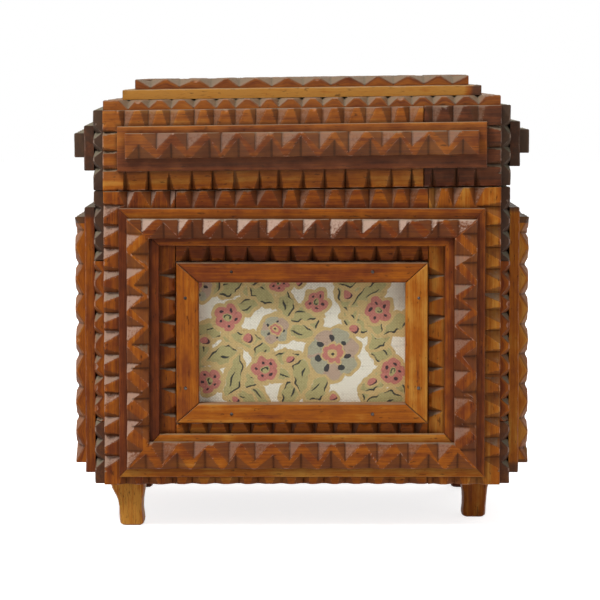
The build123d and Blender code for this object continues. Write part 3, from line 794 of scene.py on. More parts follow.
def new_material(name):
    """An empty material and its Principled node."""
    made = bpy.data.materials.new(name)
    made.use_nodes = True
    tree = made.node_tree
    tree.nodes.clear()
    surface = tree.nodes.new("ShaderNodeBsdfPrincipled")
    end = tree.nodes.new("ShaderNodeOutputMaterial")
    tree.links.new(surface.outputs[0], end.inputs["Surface"])
    return made, tree, surface


def attribute(tree, name, vector=False):
    """A value that the mesh carries."""
    made = put(tree, "ShaderNodeAttribute", attribute_name=name, attribute_type="GEOMETRY")
    return made.outputs["Vector" if vector else "Fac"]


def wood_material(name, dusty=0.55, dull=0.36, coarse=1.0):
    """Old varnished wood whose tone, wear, grime, painted highlight and painted shade come from the
    mesh.
    """
    colours = bpy.context.scene.box_colours
    made, tree, surface = new_material(name)
    do = partial(calc, tree)
    grain = attribute(tree, "grain", vector=True)
    figure = use(tree, "wood grain", {"Grain": grain})
    spot = put(tree, "ShaderNodeTexCoord").outputs
    place = spot["Object"]
    across, _, up = put(tree, "ShaderNodeSeparateXYZ", {0: spot["Normal"]}).outputs
    height = put(tree, "ShaderNodeSeparateXYZ", {0: place}).outputs[2]

    tone = attribute(tree, "tone")
    for key, size in (("Streaks", 0.95), ("Lines", 0.5 * coarse), ("Blotches", 0.7)):
        tone = do("MULTIPLY_ADD", do("SUBTRACT", figure[key], 0.5), size, tone)
    ramp = put(tree, "ShaderNodeValToRGB", {"Fac": tone})
    stops = ramp.color_ramp.elements
    stops[0].position, stops[0].color = 0.0, (*colours.dark, 1)
    stops[1].position, stops[1].color = 1.0, (*colours.gold, 1)
    for where, dye in ((0.36, colours.red_brown), (0.70, colours.amber)):
        stops.new(where).color = (*dye, 1)

    pores = spread(tree, figure["Pores"], 0.60, 0.72, 0.0, 0.45 * coarse)
    flecks = spread(tree, figure["Flecks"], 0.63, 0.70, 0.0, 0.6)
    cut = attribute(tree, "cut")
    freshly_cut = patches(tree, cut, place, 260.0, 0.9)
    grey = attribute(tree, "grey")
    weathered = patches(tree, do("MULTIPLY", grey, 1.4), grain, 90.0, 0.9)

    # Carved faces that look up and to the left, towards the key light, are painted pale: a painted
    # highlight mixed with rubbed wear. From here on worn carries this painted highlight as well as
    # the real wear.
    lit = do("MULTIPLY_ADD", across, -0.45, do("MULTIPLY", up, 0.9))
    lit = do("MULTIPLY", spread(tree, lit, 0.12, 0.6), cut)
    glints_and_rubs = do("MULTIPLY", patches(tree, lit, place, 900.0, 1.15), attribute(tree, "scuff"))
    worn = patches(tree, attribute(tree, "worn"), place, 260.0, 1.2)
    worn = do("MAXIMUM", do("MULTIPLY", worn, 0.4), glints_and_rubs)

    # Painted shade, with some grime, in the notch valleys and along the edges of the strips laid
    # over this one.
    dirt_and_shade = do("MAXIMUM", do("MULTIPLY", attribute(tree, "valley"), 0.75),
              do("MULTIPLY", attribute(tree, "tuck"), 0.6))
    film = spread(tree, height, RIM, RIM + 5 * MM, 0.0, 0.18)
    film = do("MULTIPLY", film, figure["Blotches"])
    upward = do("MULTIPLY", spread(tree, up, 0.25, 0.95), 1.25)
    dust = do("MULTIPLY", patches(tree, upward, place, 180.0, 0.9), dusty)

    coat = ramp.outputs["Color"]
    for share, dye in ((pores, colours.grime), (flecks, colours.grime),
                       (do("MULTIPLY", freshly_cut, 0.55), colours.cut),
                       (do("MULTIPLY", weathered, grey), colours.grey), (worn, colours.bare),
                       (dirt_and_shade, colours.grime), (film, colours.dust), (dust, colours.dust)):
        coat = blend(tree, share, coat, dye)
    tree.links.new(coat, surface.inputs["Base Color"])

    rough = do("MULTIPLY_ADD", figure["Blotches"], 0.3, dull - 0.15)
    rough = do("MULTIPLY_ADD", worn, 0.3, rough)
    rough = do("MULTIPLY_ADD", dust, 0.4, rough)
    rough = do("MULTIPLY_ADD", freshly_cut, 0.12, rough, clamp=True)
    tree.links.new(rough, surface.inputs["Roughness"])
    surface.inputs["IOR"].default_value = 1.48
    surface.inputs["Specular IOR Level"].default_value = 0.08
    relief = do("MULTIPLY_ADD", figure["Lines"], 0.6, figure["Pores"])
    add_bump(tree, surface, relief, 0.35, 0.12 * MM)
    return made


def add_bump(tree, surface, height, strength, distance):
    """Shades a material as if its surface rose and fell."""
    links = {"Height": height, "Strength": strength, "Distance": distance}
    bump = put(tree, "ShaderNodeBump", links)
    tree.links.new(bump.outputs[0], surface.inputs["Normal"])


def metal_material(name, clean, tarnish, rough):
    """Metal under brown tarnish that gathers in patches."""
    made, tree, surface = new_material(name)
    place = put(tree, "ShaderNodeTexCoord").outputs["Object"]
    dim = patches(tree, 0.75, place, 520.0, 1.0)
    tree.links.new(blend(tree, dim, clean, tarnish), surface.inputs["Base Color"])
    surface.inputs["Metallic"].default_value = 0.9
    tree.links.new(spread(tree, dim, 0.0, 1.0, rough, rough + 0.3), surface.inputs["Roughness"])
    return made


def cloth_material(name):
    """Coarse cotton printed with flowers, from the masks that the mesh carries."""
    colours = bpy.context.scene.box_colours
    made, tree, surface = new_material(name)
    place = attribute(tree, "place", vector=True)
    weave = use(tree, "plain weave", {"Place": place, "Threads": 1350.0})
    coat = tuple(colours.ground)
    for dye in PRINTS:
        share = calc(tree, "MULTIPLY", attribute(tree, dye), 1.3)
        share = patches(tree, share, place, 900.0, 0.8)
        coat = blend(tree, calc(tree, "MULTIPLY", share, 0.92), coat, getattr(colours, dye))
    gaps = calc(tree, "MAXIMUM", spread(tree, weave["Height"], 0.45, 0.8, 0.4, 0.0),
                spread(tree, weave["Slub"], 0.36, 0.5, 0.55, 0.0))
    coat = blend(tree, gaps, coat, colours.weave, mode="MULTIPLY")
    tree.links.new(coat, surface.inputs["Base Color"])
    surface.inputs["Roughness"].default_value = 0.92
    surface.inputs["Sheen Weight"].default_value = 0.15
    add_bump(tree, surface, weave["Height"], 0.7, 0.25 * MM)
    return made


def material(slot):
    """The aged look of a slot of the record, made the first time it is asked for."""
    name = f"aged_{slot}"
    if name in bpy.data.materials:
        return bpy.data.materials[name]
    if slot == "printed_cloth":
        return cloth_material(name)
    metals = {"brad_steel": ((0.20, 0.17, 0.15), (0.035, 0.020, 0.014), 0.4),
              "hinge_brass": ((0.55, 0.38, 0.14), (0.13, 0.075, 0.030), 0.32)}
    if slot in metals:
        return metal_material(name, *metals[slot])
    woods = {"weathered_wood": {"dusty": 0.8, "dull": 0.50},
             "carcass_wood": {"dusty": 0.42, "dull": 0.55},
             "golden_oak": {"dusty": 0.2, "dull": 0.42, "coarse": 1.9}}
    return wood_material(name, **woods.get(slot, {}))


# Pieces

def new_piece(name, mesh, node):
    """Puts a mesh in the scene as the piece that stands for a CAD node."""
    obj = bpy.data.objects.new(name, mesh)
    bpy.context.scene.collection.objects.link(obj)
    body = "lid" if node.startswith("lid") else "box"
    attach(obj, body)
    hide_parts(node)
    return obj


def on(wall, strips):
    """A wall with each strip of a ring."""
    return [(wall, strip) for strip in strips.values()]


def carve(node, slot, strips, kinds="fine fine", land=None, lean=0.0, uneven=1.0, wear=None):
    """Makes the carved piece for one CAD node from (wall, strip) pairs.

    The kinds are of the notches on its outer and its inner edges. Land is the share of the
    pitch that is left flat between the outer ones, where their own isn't used."""
    sizes = bpy.context.scene.box_sizes
    seed = sizes.seed + sum(ord(letter) * (i + 1) for i, letter in enumerate(node))
    sheaf = Sheaf(seed)
    for wall, strip in strips:
        sheaf.add(wall, strip, sizes.grid_step, uneven)
    name = "carved_" + node
    obj = new_piece(name, sheaf.mesh(name), node)
    outer, inner = (notch_of(kind) for kind in kinds.split())
    run_nodes(obj, bpy.data.node_groups["carve strips"], {
        "Outer Land": land or outer.land / outer.pitch, "Inner Land": inner.land / inner.pitch,
        "Lean": lean, "Uneven": uneven, "Edge Wear": wear or sizes.edge_wear,
        "Seed": seed, "Material": material(slot)})
    for used in [f"row_{number}" for number in SLOTS] + ["out", "open", "rim", "strip"]:
        obj.data.attributes.remove(obj.data.attributes[used])
    lean_over(obj.data, whole_depth=strips[0][0] is TOP)
    obj.data.shade_smooth()
    obj.data.set_sharp_from_angle(angle=math.radians(35))
    return obj


def repaint(obj, name, chosen, change):
    """Changes one of the wood's values where a piece differs from the rest of itself."""
    data = obj.data.attributes[name].data
    values = np.empty(len(data))
    data.foreach_get("value", values)
    values[chosen(vertex_places(obj.data))] += change
    data.foreach_set("value", values)


def even(tone):
    """The same tone for all four strips of a ring."""
    return {name: tone for name in ENDS}


def glinted_and_rubbed(strips, shares):
    """Strips whose carved faces get a pale painted highlight with rubbed wear, by the shares named.
    """
    return {side: strip._replace(scuff=shares.get(side, strip.scuff))
            for side, strip in strips.items()}


def hinge_beds():
    """Where the hinge leaves are let into a back strip's edge: from, to and how deep."""
    middle, half, leaf = 58 * MM, 15.2 * MM, 1.05 * MM
    return tuple((side * middle - half, side * middle + half, leaf) for side in (-1, 1))


def build_front_layers():
    """The three layers on the front of the body."""
    plain, plain_in, raised, raised_in, opening = ring_rects(FRONT_FACE)
    tones = {"bottom": 0.69, "right": 0.74, "top": 0.42, "left": 0.52}
    base = base_ring(FRONT_FACE, opening, (plain, plain_in), STILES, tones)
    base = glinted_and_rubbed(base, {"left": 0.55, "right": 0.3})
    parts = {"bottom": ("rail", 0.0), "right": ("stile", 0.17),
             "top": ("rail", 0.0), "left": ("stile", -0.17)}
    for side, (part, lean) in parts.items():
        carve(f"front_{side}_{part}", "red_brown_wood", [(FRONT, base[side])], "fine inner",
              lean=lean, uneven=1.5)
    tones = {"bottom": 0.79, "right": 0.34, "top": 0.46, "left": 0.22}
    strips = ring(plain, plain_in, LAYER, tones, cover=(raised, raised_in))
    carve("front_plain_strips", "red_brown_wood", on(FRONT, strips))
    tones = {"bottom": 0.56, "right": 0.52, "top": 0.32, "left": 0.53}
    strips = glinted_and_rubbed(raised_ring(raised, raised_in, tones), {"top": 0.85, "left": 0.5})
    carve("front_raised_strips", "red_brown_wood", on(FRONT, strips), "coarse coarse", uneven=1.6)


def build_back_layers():
    """The three layers on the back of the body."""
    plain, plain_in, raised, raised_in, opening = ring_rects(FRONT_FACE)
    base = base_ring(FRONT_FACE, opening, (plain, plain_in), STILES, even(0.36), grey=0.35)
    base["top"] = base["top"]._replace(mortises=hinge_beds())
    carve("back_base_strips", "red_brown_wood", on(BACK, base), "fine inner")
    strips = ring(plain, plain_in, LAYER, even(0.34), cover=(raised, raised_in), grey=0.3)
    carve("back_plain_strips", "red_brown_wood", on(BACK, strips))
    strips = raised_ring(raised, raised_in, even(0.40), grey=0.3)
    carve("back_raised_strips", "red_brown_wood", on(BACK, strips), "coarse coarse")


def build_side_layers():
    """The three layers on the left and right of the body."""
    plain, plain_in, raised, raised_in, opening = ring_rects(SIDE_FACE)
    greys = {"bottom": 0.7, "right": 0.15, "top": 0.9, "left": 0.15}
    looks = (("left", LEFT, 0.52, 0.46, 0.64), ("right", RIGHT, 0.48, 0.72, 0.76))
    for name, wall, low, middle, high in looks:
        base = base_ring(SIDE_FACE, opening, (plain, plain_in), RAILS, even(low))
        base = {side: strip._replace(grey=greys[side]) for side, strip in base.items()}
        carve(f"{name}_base_strips", "weathered_wood", on(wall, base), "fine inner")
        strips = ring(plain, plain_in, LAYER, even(middle), cover=(raised, raised_in))
        flat = carve(f"{name}_plain_strips", "red_brown_wood", on(wall, strips))
        strips = raised_ring(raised, raised_in, even(high), staggered=False)
        ridge = carve(f"{name}_raised_strips", "red_brown_wood", on(wall, strips),
                      "coarse coarse")
        for obj, top in ((flat, plain[3] - 5 * MM), (ridge, raised[3] - 3.5 * MM)):
            repaint(obj, "grey", lambda places: places[:, 2] > top, 0.8)
            if name == "right":
                repaint(obj, "grey", lambda places: places[:, 2] < raised[1] + 1.5 * MM, 0.7)


def lid_wall_strips(face, tones, grey=0.0):
    """Base, plain and raised strips of one wall of the lid."""
    plain = inset(face, 7.5 * MM, 9.5 * MM, 8 * MM)
    raised = inset(plain, 4.2 * MM, 6.6 * MM, 4 * MM)
    margin = bpy.context.scene.box_sizes.corner_land
    rows = edge_rows(face, notch_of("fine"), margin=margin)
    base = lone_strip(face, 0, rows, tones[0], grey=grey, cover=(plain, NOWHERE))
    middle = lone_strip(plain, LAYER, {}, tones[1], grey=grey, cover=(raised, NOWHERE))
    notch = notch_of("coarse")
    count = max(2, round((raised[2] - raised[0]) / notch.pitch))
    rows = edge_rows(raised, notch, counts=(count, 1))
    half = (raised[2] - raised[0]) / count / 2
    upper = rows["top"]
    upper = upper._replace(start=(upper.start[0] - half, raised[3]),
                           end=(upper.end[0] + half, raised[3]), count=count - 1)
    rows = {"bottom": rows["bottom"], "top": upper}
    return base, middle, lone_strip(raised, 2 * LAYER, rows, tones[2], grey=grey)


def build_lid_layers():
    """The strips round the lid's four walls."""
    base, middle, high = lid_wall_strips(LID_FRONT_FACE, (0.70, 0.60, 0.42))
    joint, gap = WIDTH / 2 - 38.5 * MM, 0.2 * MM
    (l, b), (r, _), (_, t), _ = base.corners
    long_piece = base._replace(corners=((l, b), (joint - gap, b), (joint - gap, t), (l, t)),
                               rows=[row for row in base.rows if row.slot != 4])
    end_piece = base._replace(corners=((joint + gap, b), (r, b), (r, t), (joint + gap, t)),
                              rows=[row for row in base.rows if row.slot != 3], tone=0.13)
    for name, slot, strip in (("strip", "red_brown_wood", long_piece),
                              ("end", "dark_wood", end_piece)):
        carve(f"lid_front_base_{name}", slot, [(FRONT, strip)], land=0.64, uneven=1.5)
    shadow_painted_strip = carve("lid_front_plain_strip", "red_brown_wood", [(FRONT, middle)])
    # Painted shadow: the plain strip's tone is lowered just below the raised strip.
    repaint(shadow_painted_strip, "tone", lambda places: places[:, 2] < high.corners[0][1] + MM, -0.30)
    carve("lid_front_raised_strip", "red_brown_wood", [(FRONT, high)], "coarse coarse", uneven=1.6)

    base, middle, high = lid_wall_strips(LID_FRONT_FACE, (0.42, 0.38, 0.40), grey=0.3)
    base = base._replace(mortises=hinge_beds())
    carve("lid_back_base_strip", "red_brown_wood", [(BACK, base)])
    carve("lid_back_plain_strip", "red_brown_wood", [(BACK, middle)])
    carve("lid_back_raised_strip", "red_brown_wood", [(BACK, high)], "coarse coarse")

    base, middle, high = lid_wall_strips(LID_SIDE_FACE, (0.36, 0.02, 0.40), grey=0.85)
    middle = middle._replace(grey=0.5)
    for name, strip, kinds in (("base", base, "fine fine"), ("plain", middle, "fine fine"),
                               ("raised", high, "coarse coarse")):
        carve(f"lid_side_{name}_strips", "weathered_wood", [(RIGHT, strip), (LEFT, strip)], kinds)


def build_lid_top():
    """The three rings on top of the lid."""

    def within(rect, width):
        """A rectangle drawn in by one width."""
        return inset(rect, width, width, width)

    plain = within(TOP_FACE, 9.2 * MM)
    plain_in, raised = within(plain, 20 * MM), within(plain, 6 * MM)
    raised_in = within(raised, 11 * MM)
    base = base_ring(TOP_FACE, within(TOP_FACE, 36 * MM), (plain, plain_in), (), even(0.58))
    carve("lid_top_base_strips", "red_brown_wood", on(TOP, base), "fine inner")
    strips = ring(plain, plain_in, LAYER, even(1.0), cover=(raised, raised_in))
    bright = carve("lid_top_plain_strips", "amber_wood", on(TOP, strips))
    for value, change in (("tone", -0.80), ("grey", 0.6)):
        repaint(bright, value, lambda places: places[:, 0] > plain[2] - 4 * MM, change)
    strips = raised_ring(raised, raised_in, even(0.42))
    carve("lid_top_raised_strips", "red_brown_wood", on(TOP, strips), "coarse coarse")


# Framed panels

PANELS = (("front", FRONT, FRONT_FACE), ("left", LEFT, SIDE_FACE), ("right", RIGHT, SIDE_FACE))
CLOTH = 1.2 * MM  # room for the cloth under a frame
CLOTH_STEP = 0.45 * MM  # mesh step of the cloth
FRAME = 8.4 * MM


def frame_rects(face):
    """A picture frame's outline and sight edge on a wall."""
    outline = inset(ring_rects(face)[-1], 0.4 * MM, 0.4 * MM, 0.4 * MM)
    return outline, inset(outline, 11.2 * MM, 10 * MM, 10 * MM)


def build_frames():
    """The picture frames and their brads."""
    # The top rail's low tone is partly its own redder wood and partly painted shade from the recess
    # it sits in.
    tones = {"bottom": 0.74, "right": 0.76, "top": 0.46, "left": 0.58}
    for name, wall, face in PANELS:
        outline, sight = frame_rects(face)
        strips = {side: (wall, strip._replace(thickness=FRAME))
                  for side, strip in ring(outline, sight, CLOTH, tones).items()}
        pieces = {f"{name}_frame_rails": list(strips.values())}
        if name == "front":
            pieces = {f"front_frame_{side}_rail": [strip] for side, strip in strips.items()}
        for node, own in pieces.items():
            carve(node, "amber_wood", own, uneven=0.5, wear=1.1 * MM)
        set_brads(name, wall, outline)


def set_brads(name, wall, outline):
    """The heads of one frame's eight brads."""
    l, b, r, t = outline
    wide, tall, edge = 0.28 * (r - l), 0.28 * (t - b), 4.6 * MM
    places = []
    for side in (-1, 1):
        places += [(side * wide, b + edge), (side * wide, t - edge)]
        places += [(l + edge, (b + t) / 2 + side * tall), (r - edge, (b + t) / 2 + side * tall)]
    plan = np.array(places)
    mesh = bpy.data.meshes.new(f"{name} brad heads")
    height = np.full(len(plan), CLOTH + FRAME - 0.05 * MM)
    mesh.from_pydata(wall.place(plan, height).tolist(), [], [])
    store(mesh, "out", np.tile(wall.out, (len(plan), 1)))
    obj = new_piece(f"{name}_brad_heads", mesh, f"{name}_brads")
    run_nodes(obj, bpy.data.node_groups["set brads"], {
        "Head Radius": 0.9 * MM, "Dome": 0.5, "Seed": bpy.context.scene.box_sizes.seed,
        "Material": material("brad_steel")})


PRINTS = ("ochre", "leaf", "bloom", "mist", "petal", "ink")
# Where the print's motifs lie, in shares of half the cloth's open width and height, then the
# turn of a leaf, the radius of a flower or bloom in millimetres, and a bloom's petals
LEAVES = ((-0.42, 0.66, 2.9), (-0.52, 0.98, 0.1), (-1.02, 0.20, -0.7), (-0.62, -0.20, 2.6),
          (-0.58, -0.72, 0.0), (-0.02, -0.62, 3.5), (0.04, -0.95, 0.1), (0.10, 0.10, 2.2),
          (0.40, 0.42, 0.3), (0.34, 0.98, -0.3), (0.98, 0.16, 1.9), (0.58, -0.78, -0.2),
          (0.66, -0.10, 0.2), (0.98, -0.95, 2.6), (-0.16, 0.40, 0.9), (-0.84, 0.80, 1.2),
          (-0.34, -0.02, 3.7), (0.82, 0.96, 3.0), (0.02, -0.28, 3.9), (0.74, 0.14, 1.3),
          (-0.74, -0.90, 0.5))
FLOWERS = ((-0.72, 0.40, 7.0), (-0.36, -0.46, 6.6), (0.74, 0.52, 6.8), (0.14, 0.66, 5.6),
           (-0.90, -0.66, 6.2), (0.88, -0.50, 6.6), (-0.22, 0.98, 5.0))
BLOOMS = ((0.30, -0.20, 13.0, 7), (-0.26, 0.20, 7.0, 5), (-1.02, 0.92, 8.0, 5))
BERRIES = ((-0.52, 0.06), (-0.12, -0.30), (0.50, 0.20), (0.44, 0.78), (-0.64, -0.98),
           (0.68, -0.66), (0.30, -0.94), (-0.02, 0.98), (-0.94, 0.02))


def leaf_shape(u, v, at, turn, length, width, bend=0.0):
    """How deep each place lies in a leaf, and its coordinates along and across."""
    cos, sin = math.cos(turn), math.sin(turn)
    x = ((u - at[0]) * cos + (v - at[1]) * sin) / length
    y = (v - at[1]) * cos - (u - at[0]) * sin - bend * length * x * x
    body = np.sin(np.pi * np.clip(x, 0, 1) ** 0.8) ** 0.85
    half = width / 2 * body * (1 + 0.10 * np.sin(26 * x))
    beyond = length * np.maximum(np.maximum(-x, x - 1), 0)
    return np.where(beyond > 0, -np.hypot(beyond, y), half - np.abs(y)), x, y


def flower_shape(u, v, at, radius, petals, turn, depth=0.28):
    """How deep each place lies in a flower, its distance from the middle and its direction."""
    du, dv = u - at[0], v - at[1]
    away, angle = np.hypot(du, dv), np.arctan2(dv, du) + turn
    edge = radius * (1 - depth + depth * np.abs(np.cos(petals * angle / 2)) ** 0.6)
    return edge - away, away, angle


def soft_edge(depth, blur=0.35 * MM):
    """1 inside a shape and 0 outside it."""
    return np.clip(0.5 + depth / blur, 0, 1)


def brush_width(along, start, end):
    """The width of a brush stroke, from 0 at its ends to 1 in its middle."""
    return np.sin(np.pi * np.clip((along - start) / (end - start), 0, 1)) ** 0.6


def print_masks(u, v, random, wide, tall):
    """A mask for each dye of the print, on a cloth of half an open width and height."""
    masks = {name: np.zeros_like(u) for name in PRINTS}
    # The printed lines waver
    u = u + 0.5 * MM * np.sin(v * 700 + 2 * np.sin(u * 330))
    v = v + 0.5 * MM * np.sin(u * 640 + 2 * np.sin(v * 410))

    def lay(name, mask, clear=False):
        """Prints a dye through a mask, over the others or in place of them."""
        for other in masks if clear else ():
            masks[other] = masks[other] * (1 - mask)
        masks[name] = np.maximum(masks[name], mask)

    def dot(at, size, name, share=1.0):
        """A round spot of a dye."""
        lay(name, share * soft_edge(size - np.hypot(u - at[0], v - at[1])))

    def shape(name, depth, halo):
        """A motif with an ochre halo."""
        lay("ochre", soft_edge(depth + halo, 0.9 * MM), clear=True)
        lay(name, soft_edge(depth), clear=True)

    def leaf(at, turn, length, width, bend):
        """A leaf with brush strokes on one edge."""
        depth, along, off = leaf_shape(u, v, at, turn, length, width, bend)
        shape("leaf", depth, 2.3 * MM)
        shaded_edge = np.where(off < 0, np.abs(depth - 0.25 * MM), 1.0)
        for line, start, end in ((shaded_edge, 0.04, 0.47), (shaded_edge, 0.56, 0.97),
                                 (np.abs(off - 0.14 * width), 0.22, 0.58)):
            press = brush_width(along, start, end)
            lay("ink", 0.95 * soft_edge(0.48 * MM * press - line) * (press > 0.15))

    def flower(at, radius, petals, turn):
        """A small flower with a seed on each petal."""
        depth, away, angle = flower_shape(u, v, at, radius, petals, turn)
        shape("petal", depth, 2.0 * MM)
        folds = np.abs(np.cos(petals * angle / 2)) < 0.22
        lay("ink", 0.35 * folds * soft_edge(depth) * (away > 0.35 * radius))
        for i in range(petals):
            way = 2 * math.pi * i / petals - turn
            spot = (at[0] + 0.58 * radius * math.cos(way), at[1] + 0.58 * radius * math.sin(way))
            dot(spot, 0.13 * radius, "ink", 0.8)
        lay("leaf", soft_edge(0.30 * radius - away), clear=True)
        lay("ink", soft_edge(0.3 * MM - np.abs(away - 0.17 * radius)) * (angle % 6 > 2))

    def berry(at, size):
        """A berry shaded on one side."""
        away = np.hypot(u - at[0], v - at[1])
        shape("petal", size - away, 1.5 * MM)
        shade = np.hypot(u - at[0] + 0.35 * size, v - at[1] - 0.35 * size)
        lay("ink", 0.7 * soft_edge(shade - size) * soft_edge(size - away))

    def bloom(at, radius, petals, turn):
        """A large bloom with a small flower in its middle."""
        depth, away, angle = flower_shape(u, v, at, radius, petals, turn, 0.2)
        shape("bloom", depth, 2.0 * MM)
        cool = 0.5 + 0.5 * np.sin(angle * petals / 2 + turn)
        lay("mist", soft_edge(depth) * np.clip(2.4 * cool - 0.7, 0, 1))
        for i in range(petals):
            way = 2 * math.pi * (i + 0.5) / petals - turn
            for far, size in ((0.60, 0.105), (0.52, 0.07)):
                spot = (at[0] + far * radius * math.cos(way), at[1] + far * radius * math.sin(way))
                dot(spot, size * radius, "ink")
        inner = flower_shape(u, v, at, 0.40 * radius, petals, turn + 0.4, 0.3)[0]
        shape("petal", inner, 0.9 * MM)
        lay("ochre", soft_edge(0.2 * radius - away), clear=True)
        dot(at, 0.07 * radius, "ink")

    for x, y, turn in LEAVES:
        for swing in (-0.55, 0.5):
            length, width = random.uniform(15, 22) * MM, random.uniform(6.8, 9.0) * MM
            leaf((x * wide, y * tall), turn + swing, length, width, swing * 0.5)
    for x, y, size in FLOWERS:
        flower((x * wide, y * tall), size * MM, 5, random.uniform(0, 6))
    for x, y, size, petals in BLOOMS:
        bloom((x * wide, y * tall), size * MM, petals, random.uniform(0, 6))
    for x, y in BERRIES:
        berry((x * wide, y * tall), random.uniform(1.7, 2.3) * MM)
    return masks


def build_cloths():
    """The three sheets of printed cloth, stretched on the carcass under their frames."""
    seed = bpy.context.scene.box_sizes.seed
    for number, (name, wall, face) in enumerate(PANELS):
        l, b, r, t = frame_rects(face)[0]
        wide, tall = r - l, t - b
        n, m = round(wide / CLOTH_STEP) + 1, round(tall / CLOTH_STEP) + 1
        x, y = np.meshgrid(np.linspace(l, r, n), np.linspace(b, t, m), indexing="ij")
        u, v = x.ravel(), y.ravel()
        border = np.minimum.reduce([u - l, r - u, v - b, t - v])
        slack = 0.12 * MM * np.sin(u * 90 + number) * np.sin(v * 120)
        slack = slack * np.clip(border / (12 * MM), 0, 1)
        plan = np.stack([u, v], 1)
        loop = np.array(boundary(n, m))
        points = [wall.place(plan, 0.75 * MM + slack), wall.place(plan[loop], 0.15 * MM)]
        lower = n * m + np.arange(len(loop))
        faces = grid_quads(n, m).tolist() + band(loop, lower) + [lower[::-1].tolist()]
        mesh = bpy.data.meshes.new(f"{name} printed cloth")
        mesh.from_pydata(np.concatenate(points).tolist(), [], faces)
        random = np.random.default_rng(seed + number)
        spots = np.stack([u, v, 0 * u], 1)
        masks = print_masks(u, v - (b + t) / 2, random, wide / 2 - 11 * MM, tall / 2 - 10 * MM)
        for key, mask in masks.items():
            store(mesh, key, np.concatenate([mask, mask[loop]]))
        store(mesh, "place", np.concatenate([spots, spots[loop]]))
        mesh.materials.append(material("printed_cloth"))
        mesh.shade_smooth()
        obj = new_piece(f"{name}_printed_cloth", mesh, f"{name}_cloth")


# Feet, boards and hinges

# How far a foot is whittled in on its outside and inside, in millimetres, by share of its height
FOOT_LEVELS = (0.0, 0.12, 0.3, 0.5, 0.68, 0.86, 1.0)
FOOT_OUTSIDE = (5.2, 4.7, 4.4, 4.2, 3.0, 0.9, 0.0)
FOOT_INSIDE = (1.2, 0.7, 1.2, 1.5, 0.9, 0.2, 0.0)
FOOT_CORNERS = 7  # the power that makes a foot's outline a square with softened corners
FOOT_TOE = 0.9  # how far the edge of the sole is worn in, in millimetres


def mark_wood(mesh, axis, tone, grey=0.0, seed=0):
    """Writes the values that the wood materials read, for a piece with its grain along an axis."""
    places = vertex_places(mesh)
    order = [axis] + [i for i in range(3) if i != axis]
    shift = np.random.default_rng(seed).uniform(0, 3, 3)
    store(mesh, "grain", places[:, order] + shift)
    store(mesh, "tone", np.full(len(places), tone))
    store(mesh, "grey", np.full(len(places), grey))


def foot_ring(low, high, side, level, facets, splay):
    """One loop of a foot's outline, at a share of its height."""
    outer = splay * np.interp(level, FOOT_LEVELS, FOOT_OUTSIDE)
    inner = np.interp(level, FOOT_LEVELS, FOOT_INSIDE)
    toe = FOOT_TOE if level == 0 else 0.0
    near = side * (high[0] if side > 0 else low[0]) - (outer + toe) * MM
    far = side * (low[0] if side > 0 else high[0]) + (inner + toe) * MM
    half_x, half_y = (near - far) / 2, (high[1] - low[1]) / 2 - (0.7 * (1 - level) + toe) * MM
    angles = np.linspace(0, 2 * math.pi, len(facets), endpoint=False) + 0.1
    cos, sin = np.cos(angles), np.sin(angles)
    size = (np.abs(cos) ** FOOT_CORNERS + np.abs(sin) ** FOOT_CORNERS) ** (-1 / FOOT_CORNERS)
    ring_x = side * (near + far) / 2 + cos * size * (half_x - np.abs(facets))
    ring_y = (low[1] + high[1]) / 2 + sin * size * (half_y - np.abs(facets))
    ring_z = np.full(len(facets), low[2] + level * (high[2] - low[2]))
    return np.stack([ring_x, ring_y, ring_z], 1)


def build_feet():
    """Four whittled feet."""
    looks = (("front_left_foot", "golden_oak", 0.88, 1.0),
             ("front_right_foot", "dark_wood", 0.66, 0.45),
             ("rear_left_foot", "dark_wood", 0.40, 0.7),
             ("rear_right_foot", "dark_wood", 0.40, 0.7))
    levels = (0.0, 0.035, 0.12, 0.26, 0.42, 0.58, 0.70, 0.76, 0.86, 0.95, 1.0)
    around = 28  # vertices in each loop
    for number, (node, slot, tone, splay) in enumerate(looks):
        low, high = (np.array(corner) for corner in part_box(node))
        random = np.random.default_rng(number + 5)
        facets = random.normal(0, 0.22 * MM, (3, around))
        side = -1 if low[0] < 0 else 1
        rings = [foot_ring(low, high, side, level, facets[min(2, int(level * 3))], splay)
                 for level in levels]
        faces = []
        for row in range(len(levels) - 1):
            lower = np.arange(around) + row * around
            faces += band(lower + around, lower)
        faces.append(list(range(around - 1, -1, -1)))
        faces.append((np.arange(around) + (len(levels) - 1) * around).tolist())
        mesh = bpy.data.meshes.new(f"whittled_{node}")
        mesh.from_pydata(np.concatenate(rings).tolist(), [], faces)
        mark_wood(mesh, 2, tone, grey=0.35 if slot == "dark_wood" else 0.0, seed=number)
        mesh.materials.append(material(slot))
        mesh.shade_smooth()
        mesh.set_sharp_from_angle(angle=math.radians(22))
        new_piece(f"whittled_{node}", mesh, node)


